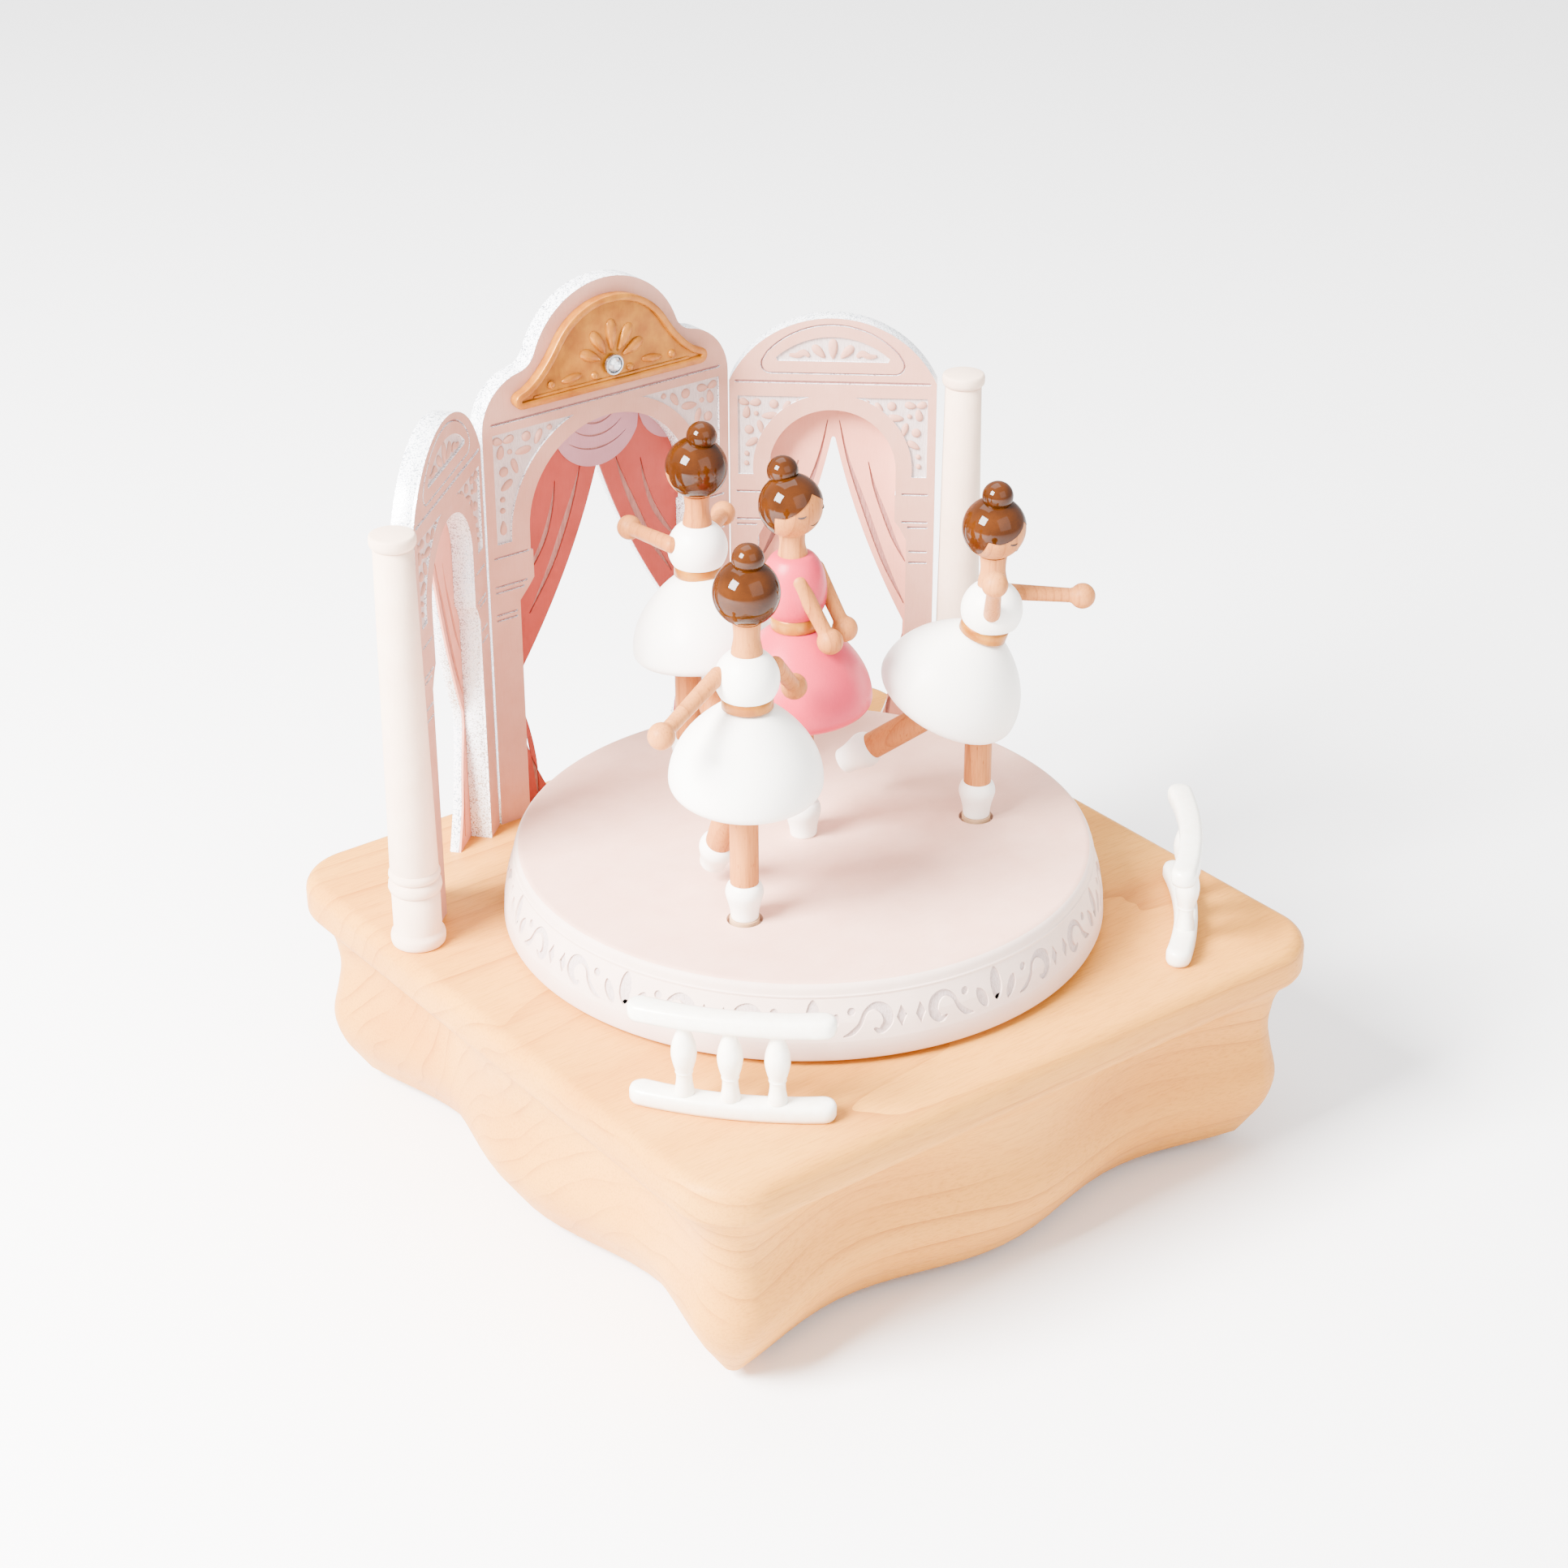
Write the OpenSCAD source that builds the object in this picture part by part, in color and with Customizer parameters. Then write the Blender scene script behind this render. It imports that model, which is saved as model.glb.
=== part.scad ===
// Wooden ballerina music box: a bombe base block, a turning round stage with four turned dancers,
// and an arched theatre backdrop. Millimetres, +Z up, origin at the middle of the underside of the feet.

/* [Base] */
// Width and depth of the square top of the base
base_w = 160; // [150:1:200]
// Height of the wooden block
base_h = 50; // [48:1:70]
// Corner radius of the top edge
base_corner_r = 13; // [10:0.5:18]
// Thickness of the rounded lip round the top
lip_h = 9; // [6:0.5:12]
// Wood left above the movement pocket
top_wall = 8; // [6:0.5:12]
// Width of the square movement pocket
pocket_w = 92; // [90:1:100]
// How far the serpentine sides swing in and out
wave_amp = 3.2; // [0:0.1:5]
// Height of the rubber feet
foot_h = 3; // [2:0.5:6]

/* [Stage] */
// Radius of the flat top of the turning stage
stage_top_r = 59.5; // [58:0.5:64]
// Radius at the foot of the stage rim
stage_foot_r = 63.6; // [62:0.5:68]
// Height of the stage rim
stage_h = 16.2; // [15:0.2:22]
// Gap between the base and the stage rim
stage_gap = 1.1; // [0.6:0.1:2]
// Thickness of the stage top
stage_wall = 6; // [5:0.5:8]
// Distance from the stage centre to the dancers' spindles
orbit_r = 37.5; // [36:0.5:39]
// Angle of the first spindle on the stage
orbit_phase = -146; // [-180:1:180]
// Distance of the stage centre in front of the base centre
stage_y = -2.4; // [-4:0.1:0]

/* [Dancers] */
// Radius of the dancers' heads
head_r = 6.5; // [5:0.1:7]
// Radius of the hair bun
bun_r = 3.2; // [2:0.1:4]
// Radius of the round bodice
bodice_r = 6.4; // [5.5:0.1:7]
// Radius of the waist belt
belt_r = 5.1; // [4.5:0.1:5.6]
// Radius of the dancers' skirts
skirt_r = 15.3; // [12:0.1:17]
// Height of the dancers' skirts
skirt_h = 18.4; // [15:0.2:22]
// Radius of the leg dowels
leg_r = 2.9; // [2.4:0.1:3.2]
// Radius of the arm dowels
arm_r = 1.75; // [1.4:0.05:2]
// Radius of the arms at the hand
wrist_r = 1.5; // [1.2:0.05:2]
// Radius of the round hands
hand_r = 2.7; // [2:0.1:3]

/* [Backdrop] */
// Height of the crown of the middle panel above the base
panel_h = 121; // [115:1:140]
// Width of the middle panel
panel_w = 64; // [60:1:70]
// Width of each side panel
wing_w = 46; // [44:1:52]
// Thickness of the panels
panel_t = 4.8; // [4:0.2:6]
// Thickness of the curtain boards
curtain_t = 2.5; // [2:0.1:4]
// Distance from the base centre to the front of the middle panel
panel_y = 66.6; // [64:0.2:70]
// Turn of each side panel towards the front
wing_turn = 41; // [36:1:45]
// Height of the columns
column_h = 92.4; // [80:0.4:110]

/* [Balustrades] */
// Radius of the balustrade arcs about the stage centre
rail_orbit_r = 81; // [79:0.5:86]
// Angle of each balustrade away from the front
rail_turn = 47.5; // [44:0.5:50]
// Arc covered by each rail
rail_arc = 25; // [22:1:30]
// Width of the rails
rail_w = 5.2; // [4:0.2:7]
// Height of each rail
rail_h = 3.8; // [3:0.2:5]
// Overall height of the balustrade
balustrade_h = 22.6; // [18:0.2:28]

/* [Fits] */
// Radial clearance of running shafts
running = 0.05; // [0.02:0.01:0.1]
// Gap between pieces that move past one another
clear = 0.4; // [0.3:0.05:0.8]
// Gap round covers and boards set in a recess
cover_gap = 0.3; // [0.1:0.05:0.5]

/* [Hidden] */
$fn = 64;

// Heights
base_z = foot_h;
top_z = foot_h + base_h;
ceiling_z = top_z - top_wall;
stage_z = top_z + stage_gap;
deck_z = stage_z + stage_h;
under_z = deck_z - stage_wall;

// Colours
maple = "#EFCB98";
beech = "#D9AE7E";
hair = "#7A4716";
ivory = "#F7F3EA";
pink = "#F0A3B4";
wash = "#F1DFD8";
coral = "#DE8C8C";
peach = "#F3CFC5";
gold = "#D99A3D";
steel = "#B9BCC0";
brass = "#C9A24B";
dark = "#4A4A4C";

// ---------- shared helpers ----------
function polar(r, a) = [r * cos(a), r * sin(a)];
function arc(c, r, a0, a1, n) = [for (i = [0 : n]) c + polar(r, a0 + (a1 - a0) * i / n)];
function mirrored(pts) = [for (i = [len(pts) - 1 : -1 : 0]) [-pts[i].x, pts[i].y]];
function spindle_angle(k) = orbit_phase + 120 * k;
function spindle_xy(k) = [0, stage_y] + polar(orbit_r, spindle_angle(k));

module at_spindle(k) { translate([spindle_xy(k).x, spindle_xy(k).y, deck_z]) children(); }
module four_corners(d) { for (x = [-d, d], y = [-d, d]) translate([x, y, 0]) children(); }

// Stands the XY outline up in the XZ plane, with its front at y = 0 and its thickness behind it
module upright(t) { translate([0, t, 0]) rotate([90, 0, 0]) linear_extrude(t) children(); }

// ---------- base ----------
lip_round = 3.2;
neck_in = 8.2;
belly_in = 5.9;
foot_in = 13;
side_steps = 14;
corner_steps = 6;
// Height down the block and how far the side stands in from the lip there
profile = [[0, lip_round], [0.9, 1.2], [lip_round, 0], [lip_h - 2, 0], [lip_h, 1.2], [lip_h + 3, 4.4],
  [lip_h + 8, 7.4], [0.45 * base_h, neck_in], [0.57 * base_h, 7.2], [0.7 * base_h, belly_in],
  [0.82 * base_h, 7.4], [0.92 * base_h, 10.4], [base_h, foot_in]];
function swing(depth) = depth < lip_h ? 0 : min(1, (depth - lip_h) / 9);
function side_wave(t) = wave_amp * cos(180 * t / 0.56) - 0.5;
// One point of the outline at side k, at t from -1 to 1 along it, standing in by d
function side_point(k, t, d, s) =
  let (half = base_w / 2 - base_corner_r, out = base_w / 2 - d + s * side_wave(t), a = 90 * k)
  [cos(a) * out - sin(a) * t * half, sin(a) * out + cos(a) * t * half];
function corner_point(k, u, d, s) =
  let (half = base_w / 2 - base_corner_r, r = base_corner_r - d + s * side_wave(1), a = 90 * k + 90 * u)
  [cos(90 * k) * half - sin(90 * k) * half + r * cos(a), sin(90 * k) * half + cos(90 * k) * half + r * sin(a)];
function ring(level) = let (d = level[1], s = swing(level[0])) [for (k = [0 : 3]) each concat(
  [for (i = [0 : side_steps]) side_point(k, 2 * i / side_steps - 1, d, s)],
  [for (i = [1 : corner_steps - 1]) corner_point(k, i / corner_steps, d, s)])];
module bombe_block() {
  n = len(ring(profile[0]));
  m = len(profile);
  pts = [for (level = profile) each [for (p = ring(level)) [p.x, p.y, top_z - level[0]]]];
  walls = [for (j = [0 : m - 2], i = [0 : n - 1])
    [j * n + i, j * n + (i + 1) % n, (j + 1) * n + (i + 1) % n, (j + 1) * n + i]];
  lid = [[for (i = [n - 1 : -1 : 0]) i]];
  floor_face = [[for (i = [0 : n - 1]) (m - 1) * n + i]];
  polyhedron(pts, concat(walls, lid, floor_face), convexity = 6);
}
cover_t = 3;
cover_lap = 4;
cover_w = pocket_w + 2 * cover_lap;
cover_screw_at = pocket_w / 2 + cover_lap / 2 - 0.2;
bush_r = 6;
bush_flange_r = 10.5;
bush_flange_t = 1;
module base_body() color(maple) difference() {
  bombe_block();
  translate([-pocket_w / 2, -pocket_w / 2, base_z - 1]) cube([pocket_w, pocket_w, ceiling_z - base_z + 1]);
  translate([-cover_w / 2 - cover_gap, -cover_w / 2 - cover_gap, base_z - 1])
    cube([cover_w + 2 * cover_gap, cover_w + 2 * cover_gap, cover_t + 1]);
  translate([0, stage_y, ceiling_z - 1]) cylinder(h = top_wall + 2, r = bush_r);
}
module bottom_cover() color(beech) difference() {
  translate([-cover_w / 2, -cover_w / 2, base_z]) cube([cover_w, cover_w, cover_t]);
  four_corners(cover_screw_at) translate([0, 0, base_z - 1]) cylinder(h = cover_t + 2, r = 1.6);
}
module cover_screws() color(steel) four_corners(cover_screw_at) translate([0, 0, base_z]) difference() {
  union() {
    translate([0, 0, -1.2]) cylinder(h = 1.2, r1 = 1.9, r2 = 2.9);
    cylinder(h = cover_t, r = 1.5);
  }
  translate([-0.4, -2, -1.3]) cube([0.8, 4, 0.8]);
}
foot_r = 5.5;
foot_at = base_w / 2 - foot_in - 10;
module rubber_feet() color(dark) four_corners(foot_at) rotate_extrude()
  polygon([[0, 0], [foot_r - 1, 0], [foot_r - 0.3, 0.5], [foot_r, 1.4], [foot_r, foot_h], [0, foot_h]]);

// ---------- stage drive ----------
shaft_r = 2.5;
hub_boss_r = 8;
hub_flange_r = 15;
hub_flange_t = 3;
sun_teeth = 60;
planet_teeth = 15;
gear_module = orbit_r * 2 / (sun_teeth + planet_teeth);
gear_t = 2.5;
sun_bore_r = 12;
sun_screw_at = 20;
module stage_bearing() color(brass) translate([0, stage_y, 0]) difference() {
  union() {
    translate([0, 0, ceiling_z]) cylinder(h = top_wall, r = bush_r);
    translate([0, 0, top_z]) cylinder(h = bush_flange_t, r = bush_flange_r);
  }
  translate([0, 0, ceiling_z - 1]) cylinder(h = top_wall + bush_flange_t + 2, r = shaft_r + running);
}
// Half width of a tooth's tip, in modules
tooth_tip = 0.33;
// Gear outline with straight-flanked teeth and a little backlash; a tooth is centred on angle 0
function gear_outline(teeth, m) = let (r = m * teeth / 2, tip = r + 0.8 * m, root = r - 1.15 * m, p = 360 / teeth,
  tip_half = asin(tooth_tip * m / tip))
  [for (i = [0 : teeth - 1]) each [polar(root, p * (i - 0.34)), polar(r, p * (i - 0.205)),
    polar(tip, p * i - tip_half), polar(tip, p * i + tip_half),
    polar(r, p * (i + 0.205)), polar(root, p * (i + 0.34))]];
module gear(teeth, m, t) { linear_extrude(t) polygon(gear_outline(teeth, m)); }
sun_z = stage_z + 0.6;
module sun_gear() color(brass) translate([0, stage_y, top_z]) difference() {
  union() {
    translate([0, 0, sun_z - top_z]) rotate(orbit_phase) gear(sun_teeth, gear_module, gear_t);
    cylinder(h = sun_z - top_z + 1, r = sun_teeth * gear_module / 2 - 3);
  }
  translate([0, 0, -1]) cylinder(h = 8, r = sun_bore_r);
  for (a = [0, 120, 240]) rotate(a) translate([sun_screw_at, 0, -1]) cylinder(h = 8, r = 1.3);
}
sun_top_z = sun_z + gear_t;
module sun_gear_screws() color(steel) translate([0, stage_y, top_z]) for (a = [0, 120, 240])
  rotate(a) translate([sun_screw_at, 0, 0]) {
    cylinder(h = sun_top_z - top_z, r = 1.25);
    translate([0, 0, sun_top_z - top_z]) cylinder(h = 1.4, r = 2.4);
  }
counterbore_r = 3.7;
counterbore_d = 1.6;
spindle_r = 3.05;
spindle_stand = 0.5;
tenon_r = 1.5;
tenon_l = 4;
rim_wall = 6.5;
hub_screw_at = 11;
module stage_disc() color(wash) translate([0, stage_y, 0]) difference() {
  rotate_extrude($fn = 128) polygon(concat([[0, under_z], [stage_top_r - rim_wall, under_z],
    [stage_foot_r - rim_wall - 0.5, stage_z]],
    arc([stage_foot_r - 1, stage_z + 1], 1, -90, 0, 4),
    [[stage_foot_r, stage_z + 3.5], [stage_foot_r - 0.9, stage_z + 8.5], [stage_top_r + 1.6, deck_z - 2.8]],
    arc([stage_top_r, deck_z - 1.6], 1.6, 0, 90, 5), [[0, deck_z]]));
  for (k = [0 : 2]) rotate(spindle_angle(k)) translate([orbit_r, 0, 0]) {
    translate([0, 0, under_z - 1]) cylinder(h = stage_wall + 2, r = spindle_r + running);
    translate([0, 0, deck_z - counterbore_d]) cylinder(h = 2 * counterbore_d, r = counterbore_r);
  }
  translate([0, 0, deck_z - tenon_l]) cylinder(h = tenon_l + 1, r = tenon_r);
  for (a = [30, 150, 270]) rotate(a) translate([hub_screw_at, 0, under_z - 1]) cylinder(h = 4.5, r = 1.2);
}
barrel_r = 16;
barrel_z = 24;
barrel_top_z = 39;
hub_z = top_z + bush_flange_t;
module stage_hub() color(steel) translate([0, stage_y, 0]) difference() {
  union() {
    translate([0, 0, barrel_z]) cylinder(h = under_z - barrel_z, r = shaft_r);
    translate([0, 0, hub_z]) cylinder(h = under_z - hub_z, r = hub_boss_r);
    translate([0, 0, under_z - hub_flange_t]) cylinder(h = hub_flange_t, r = hub_flange_r);
  }
  for (a = [30, 150, 270]) rotate(a) translate([hub_screw_at, 0, under_z - hub_flange_t - 1])
    cylinder(h = hub_flange_t + 2, r = 1.2);
}
module hub_screws() color(steel) translate([0, stage_y, 0]) for (a = [30, 150, 270])
  rotate(a) translate([hub_screw_at, 0, under_z - hub_flange_t]) {
    cylinder(h = hub_flange_t + 3.4, r = 1.2);
    translate([0, 0, -1.3]) cylinder(h = 1.3, r = 2.2);
  }

// ---------- music movement ----------
crown_teeth = 40;
crown_r = 15;
crown_module = crown_r * 2 / crown_teeth;
crown_h = 1.3;
pinion_teeth = 16;
pinion_r = crown_module * pinion_teeth / 2;
drum_x = 17.7;
drum_l = 18.4;
drum_r = 6.3;
arbor_r = 1;
drum_z = barrel_z - 0.55 * crown_h - pinion_r;
end_gear_x = drum_x + drum_l + 0.7;
fine_module = 0.4;
end_teeth = 32;
small_teeth = 10;
small_y = -(end_teeth + small_teeth) * fine_module / 2;
wheel_x = end_gear_x + 2.4;
wheel_r = 5;
fan_y = small_y - wheel_r - 1.5;
fan_r = 4.3;
bed_t = 4;
bed_z = ceiling_z - bed_t;
lug_t = 0.9;
module crown_tooth() translate([crown_r - 1.6, 0, -crown_h])
  rotate([90, 0, 90]) linear_extrude(2.6) polygon([[-0.35, 0], [0.35, 0], [0.62, crown_h + 0.1], [-0.62, crown_h + 0.1]]);
module spring_barrel() color(brass) translate([0, stage_y, barrel_z]) difference() {
  union() {
    cylinder(h = barrel_top_z - barrel_z, r = barrel_r);
    for (i = [0 : crown_teeth - 1]) rotate((i + 0.5) * 360 / crown_teeth) crown_tooth();
  }
  translate([0, 0, -2]) cylinder(h = barrel_top_z - barrel_z + 3, r = shaft_r);
}
pin_rows = 18;
module drum_pins() for (i = [0 : pin_rows - 1], j = [0 : 1])
  translate([drum_x + (i + 0.5) * drum_l / pin_rows, 0, 0]) rotate([137 * i + 163 * j, 0, 0])
    translate([0, 0, drum_r - 0.3]) cylinder(h = 0.8, r = 0.2, $fn = 8);
// The drum's frame: its axis is +X from the stage axis
module at_drum() translate([0, stage_y, drum_z]) children();
module along_x(x) translate([x, 0, 0]) rotate([90, 0, 90]) children();
module music_cylinder() color(brass) at_drum() {
  along_x(drum_x) cylinder(h = drum_l, r = drum_r);
  drum_pins();
  along_x(crown_r - 1.4) gear(pinion_teeth, crown_module, 2.2);
  along_x(crown_r - 1.4) cylinder(h = wheel_x + 2.4 - crown_r, r = arbor_r);
  along_x(end_gear_x) gear(end_teeth, fine_module, 1.6);
}
module governor_gear() color(brass) at_drum() translate([0, small_y, 0]) {
  along_x(end_gear_x - 0.2) rotate(360 / small_teeth / 2) gear(small_teeth, fine_module, 2);
  along_x(end_gear_x - 0.2) cylinder(h = wheel_x - end_gear_x + 3.6, r = 0.8);
  along_x(wheel_x) cylinder(h = 1, r = wheel_r);
}
fan_x = wheel_x + 0.5;
fan_low_z = 9;
module governor_fan() color(steel) translate([fan_x, stage_y + fan_y, 0]) {
  translate([0, 0, fan_low_z]) cylinder(h = bed_z - fan_low_z + 1, r = 0.7);
  translate([0, 0, drum_z - 3]) cylinder(h = 6, r = 1.35);
  translate([-fan_r, -0.25, drum_z + 6.5]) cube([2 * fan_r, 0.5, 7]);
}
comb_t = 1.2;
comb_tip_y = drum_r + 0.5 + 0.35;
comb_back_y = comb_tip_y + 18;
module comb() color(steel) at_drum() difference() {
  translate([drum_x, comb_tip_y, -comb_t / 2]) cube([drum_l, comb_back_y - comb_tip_y, comb_t]);
  for (i = [1 : pin_rows - 1]) translate([drum_x + i * drum_l / pin_rows - 0.1, comb_tip_y - 1, -comb_t])
    cube([0.2, 10 - 0.2 * i, 2 * comb_t]);
  for (x = [4, drum_l - 4]) translate([drum_x + x, comb_back_y - 3.5, -comb_t]) cylinder(h = 2 * comb_t, r = 1.2);
}
bed_lo = [-21, stage_y - 24.5];
bed_hi = [43.5, stage_y + 26];
bed_screw_at = [[-17, -20], [-17, 21], [40.4, 21], [25, -20]];
module lug(x, y, w, t, r) difference() {
  translate([x, y - w / 2, -3]) cube([t, w, bed_z - drum_z + 3]);
  translate([x - 1, y, 0]) rotate([0, 90, 0]) cylinder(h = t + 2, r = r + running);
}
module movement_bedplate() color(steel) difference() {
  union() {
    translate([bed_lo.x, bed_lo.y, bed_z]) cube([bed_hi.x - bed_lo.x, bed_hi.y - bed_lo.y, bed_t]);
    at_drum() {
      lug(barrel_r + 0.3, 0, 5, lug_t, arbor_r);
      lug(wheel_x - 0.2, 0, 5, 1.6, arbor_r);
      lug(wheel_x + 1.5, small_y, 3.4, 1.4, 0.8);
      translate([drum_x - 1, comb_back_y - 7, comb_t / 2]) cube([drum_l + 2, 7.5, bed_z - drum_z]);
    }
  }
  translate([0, stage_y, bed_z - 1]) cylinder(h = bed_t + 2, r = shaft_r + running);
  for (p = bed_screw_at) translate([p.x, p.y + stage_y, bed_z - 1]) cylinder(h = bed_t + 2, r = 1.5);
  translate([fan_x, stage_y + fan_y, bed_z - 1]) cylinder(h = 2.5, r = 0.7 + running);
  at_drum() for (x = [4, drum_l - 4]) translate([drum_x + x, comb_back_y - 3.5, 0]) cylinder(h = 7, r = 1.2);
}
module movement_screws() color(steel) {
  for (p = bed_screw_at) translate([p.x, p.y + stage_y, bed_z]) {
    cylinder(h = bed_t, r = 1.5);
    translate([0, 0, -1.6]) cylinder(h = 1.6, r = 2.8);
  }
  at_drum() for (x = [4, drum_l - 4]) translate([drum_x + x, comb_back_y - 3.5, -comb_t / 2]) {
    cylinder(h = comb_t + 5, r = 1.2);
    translate([0, 0, -1.4]) cylinder(h = 1.4, r = 2.3);
  }
}
module governor_bracket() color(steel) translate([fan_x, stage_y + fan_y, 0]) difference() {
  union() {
    translate([-2, -fan_r - 2, fan_low_z - 1.5]) cube([4, 1.5, bed_z - fan_low_z + 1.5]);
    translate([-2, -fan_r - 2, fan_low_z - 1.5]) cube([4, fan_r + 4, 3]);
  }
  translate([0, 0, fan_low_z]) cylinder(h = 5, r = 0.7 + running);
}

// ---------- turned dancers ----------
shoe_h = 8;
// Turned leg along +Z from the toe: toe, bulbous shoe and dowel
module turned_leg(l) rotate_extrude() polygon([[0, 0], [2.75, 0], [2.95, 2], [3.35, 3.6], [3.8, 5.2], [3.85, 6.3],
  [3.5, 7.4], [leg_r, shoe_h], [leg_r, l], [0, l]]);
skirt_round = 2.4;
skirt_neck_r = belt_r - 0.4;
bell_steps = 12;
// Bell-shaped skirt with a rounded hem, hanging from the waist at the origin
module bell(r, h) rotate_extrude() polygon(concat([[0, -h]],
  arc([r - skirt_round, -h + skirt_round], skirt_round, -90, 0, 4),
  [for (i = [bell_steps - 1 : -1 : 0]) let (t = i / bell_steps)
    [skirt_neck_r + (r - skirt_neck_r) * sin(90 * pow(t, 0.85)), -t * (h - skirt_round)]], [[0, 0]]));
belt_h = 2.6;
module waist_band(r) { cylinder(h = belt_h, r = r); }
neck_r = 2.65;
collar_r = 3.15;
neck_low = 5.4;
neck_top = 12.2;
// Bodice with its bare neck, the bodice centre at the origin, cut flat on the belt
module turned_torso(r) rotate_extrude() polygon(concat([[0, belt_cut(r)]],
  [for (i = [0 : 14]) let (a = asin(belt_cut(r) / r) + (asin(neck_low / r) - asin(belt_cut(r) / r)) * i / 14)
    polar(r, a)],
  [[collar_r, neck_low + 0.4], [neck_r + 0.1, neck_low + 2.4], [neck_r, neck_top - 2.4],
    [neck_r + 0.2, neck_top], [0, neck_top]]));
function belt_cut(r) = -sqrt(r * r - belt_r * belt_r) + 0.35;
head_up = 18.1;
bun_back = 1.1;
bun_up = 7.2;
module turned_head(r) difference() {
  union() {
    sphere(r = r);
    translate([-bun_back, 0, bun_up]) sphere(r = bun_r);
  }
  translate([-r, -r, -2 * r + neck_top - head_up]) cube(2 * r);
}
// Dowel arm from a to b with a round hand at b
module arm(a, b) {
  d = b - a;
  l = norm(d);
  translate(a) rotate([0, acos(d.z / l), atan2(d.y, d.x)]) {
    sphere(r = arm_r);
    cylinder(h = l, r1 = arm_r - 0.05, r2 = wrist_r);
    translate([0, 0, l]) sphere(r = hand_r);
  }
}
function spot(r, a, z) = [r * cos(a), r * sin(a), z];

// Each dancer: [waist height, lean of the skirt, lean of the torso, facing, raised leg direction, raised leg drop,
//   raised foot radius, raised foot height, left hand, right hand, waist set aside along waist_way, face direction];
//   hands are [radius, direction, height]
DANCERS = [
  [47.4, 4, 3, 60, 75, 60, 15, 8.3, [21.6, 188, 49], [18.4, 20, 44.3], 0.9, 60],
  [42.8, 25, 18, -45, 125, 37, 25.6, 11.5, [21.4, -25, 49.3], [18, -124, 62], 0, -59],
  [47.2, 8, 0, 118, -95, 50, 19, 9.5, [19.5, 93, 51.5], [20.4, 31, 53], 2.5, 92]];
waist_way = -37;
function waist_z(d) = d[0];
function skirt_lean(d) = d[1];
function torso_lean(d) = d[2];
function facing(d) = d[3];
function leg_way(d) = d[4];
function leg_drop(d) = d[5];
function foot_spot(d) = spot(d[6], d[4], d[7]);
function waist_at(d) = spot(d[10], waist_way, waist_z(d));
function face_way(d) = d[11];
function bodice_at(d) = let (up = -belt_cut(bodice_r) + belt_h)
  waist_at(d) + spot(up * sin(torso_lean(d)), facing(d), up * cos(torso_lean(d)));
function hand_spot(h) = spot(h[0], h[1], h[2]);
// A shoulder sits at the side of the bodice, drawn some way round towards its hand
shoulder_draw = 0.35;
function shoulder(d, s, h) = let (side = facing(d) + s * 90, off = (h[1] - side + 540) % 360 - 180)
  bodice_at(d) + spot(bodice_r - 0.4, side + shoulder_draw * off, 1.6);

// The skirt swings back the way the raised leg points
module skirt_frame(d) translate(waist_at(d)) rotate([0, skirt_lean(d), leg_way(d) + 180]) children();
module dancer_spindle(k) color(beech) at_spindle(k) difference() {
  union() {
    translate([0, 0, sun_z - deck_z]) cylinder(h = deck_z - sun_z + spindle_stand, r = spindle_r);
    translate([0, 0, sun_z - deck_z]) cylinder(h = under_z - sun_z - clear / 2, r = spindle_r + 1.5);
    translate([0, 0, sun_z - deck_z]) rotate(spindle_angle(k) + 180 + 180 / planet_teeth)
      gear(planet_teeth, gear_module, gear_t);
    translate([0, 0, top_z + 0.1 - deck_z]) cylinder(h = 2, r = 1.5);
  }
  translate([0, 0, spindle_stand - tenon_l]) cylinder(h = tenon_l + 1, r = tenon_r);
}
module leg_lines(d) {
  cylinder(h = waist_z(d) - 8, r = leg_r);
  raised_leg_frame(d) cylinder(h = raised_l(d), r = leg_r);
}
raised_root = 6.4;
function raised_l(d) = (d[6] - raised_root) / cos(leg_drop(d)) + 3.6;
module raised_leg_frame(d) translate(foot_spot(d)) rotate([0, 0, leg_way(d)]) rotate([0, -90 + leg_drop(d), 0])
  translate([0, 0, -5]) children();
module dancer_leg(k, d) color(beech) at_spindle(k) {
  translate([0, 0, spindle_stand]) turned_leg(waist_z(d) - 8 - spindle_stand);
  translate([0, 0, spindle_stand - tenon_l + 0.2]) cylinder(h = tenon_l, r = tenon_r);
}
module dancer_raised_leg(k, d) color(beech) at_spindle(k) raised_leg_frame(d) turned_leg(raised_l(d));
module dancer_skirt(k, d) color(ivory) at_spindle(k) difference() {
  skirt_frame(d) bell(skirt_r, skirt_h);
  leg_lines(d);
}
module torso_frame(d) translate(waist_at(d)) rotate([0, torso_lean(d), facing(d)]) children();
module dancer_belt(k, d) color(gold) at_spindle(k) difference() {
  torso_frame(d) waist_band(belt_r);
  skirt_frame(d) translate([0, 0, -2 * skirt_h]) cylinder(h = 2 * skirt_h, r = skirt_r);
}
module dancer_torso(k, d) color(ivory) at_spindle(k) difference() {
  translate(bodice_at(d)) turned_torso(bodice_r);
  torso_frame(d) translate([0, 0, belt_h - 20]) cylinder(h = 20, r = 12);
}
module dancer_head(k, d) color(hair) at_spindle(k) translate(bodice_at(d) + [0, 0, head_up]) rotate(face_way(d))
  turned_head(head_r);
module dancer_arms(k, d) color(beech) at_spindle(k) difference() {
  union() {
    arm(shoulder(d, 1, d[8]), hand_spot(d[8]));
    arm(shoulder(d, -1, d[9]), hand_spot(d[9]));
  }
  translate(bodice_at(d)) sphere(r = bodice_r);
}

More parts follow.
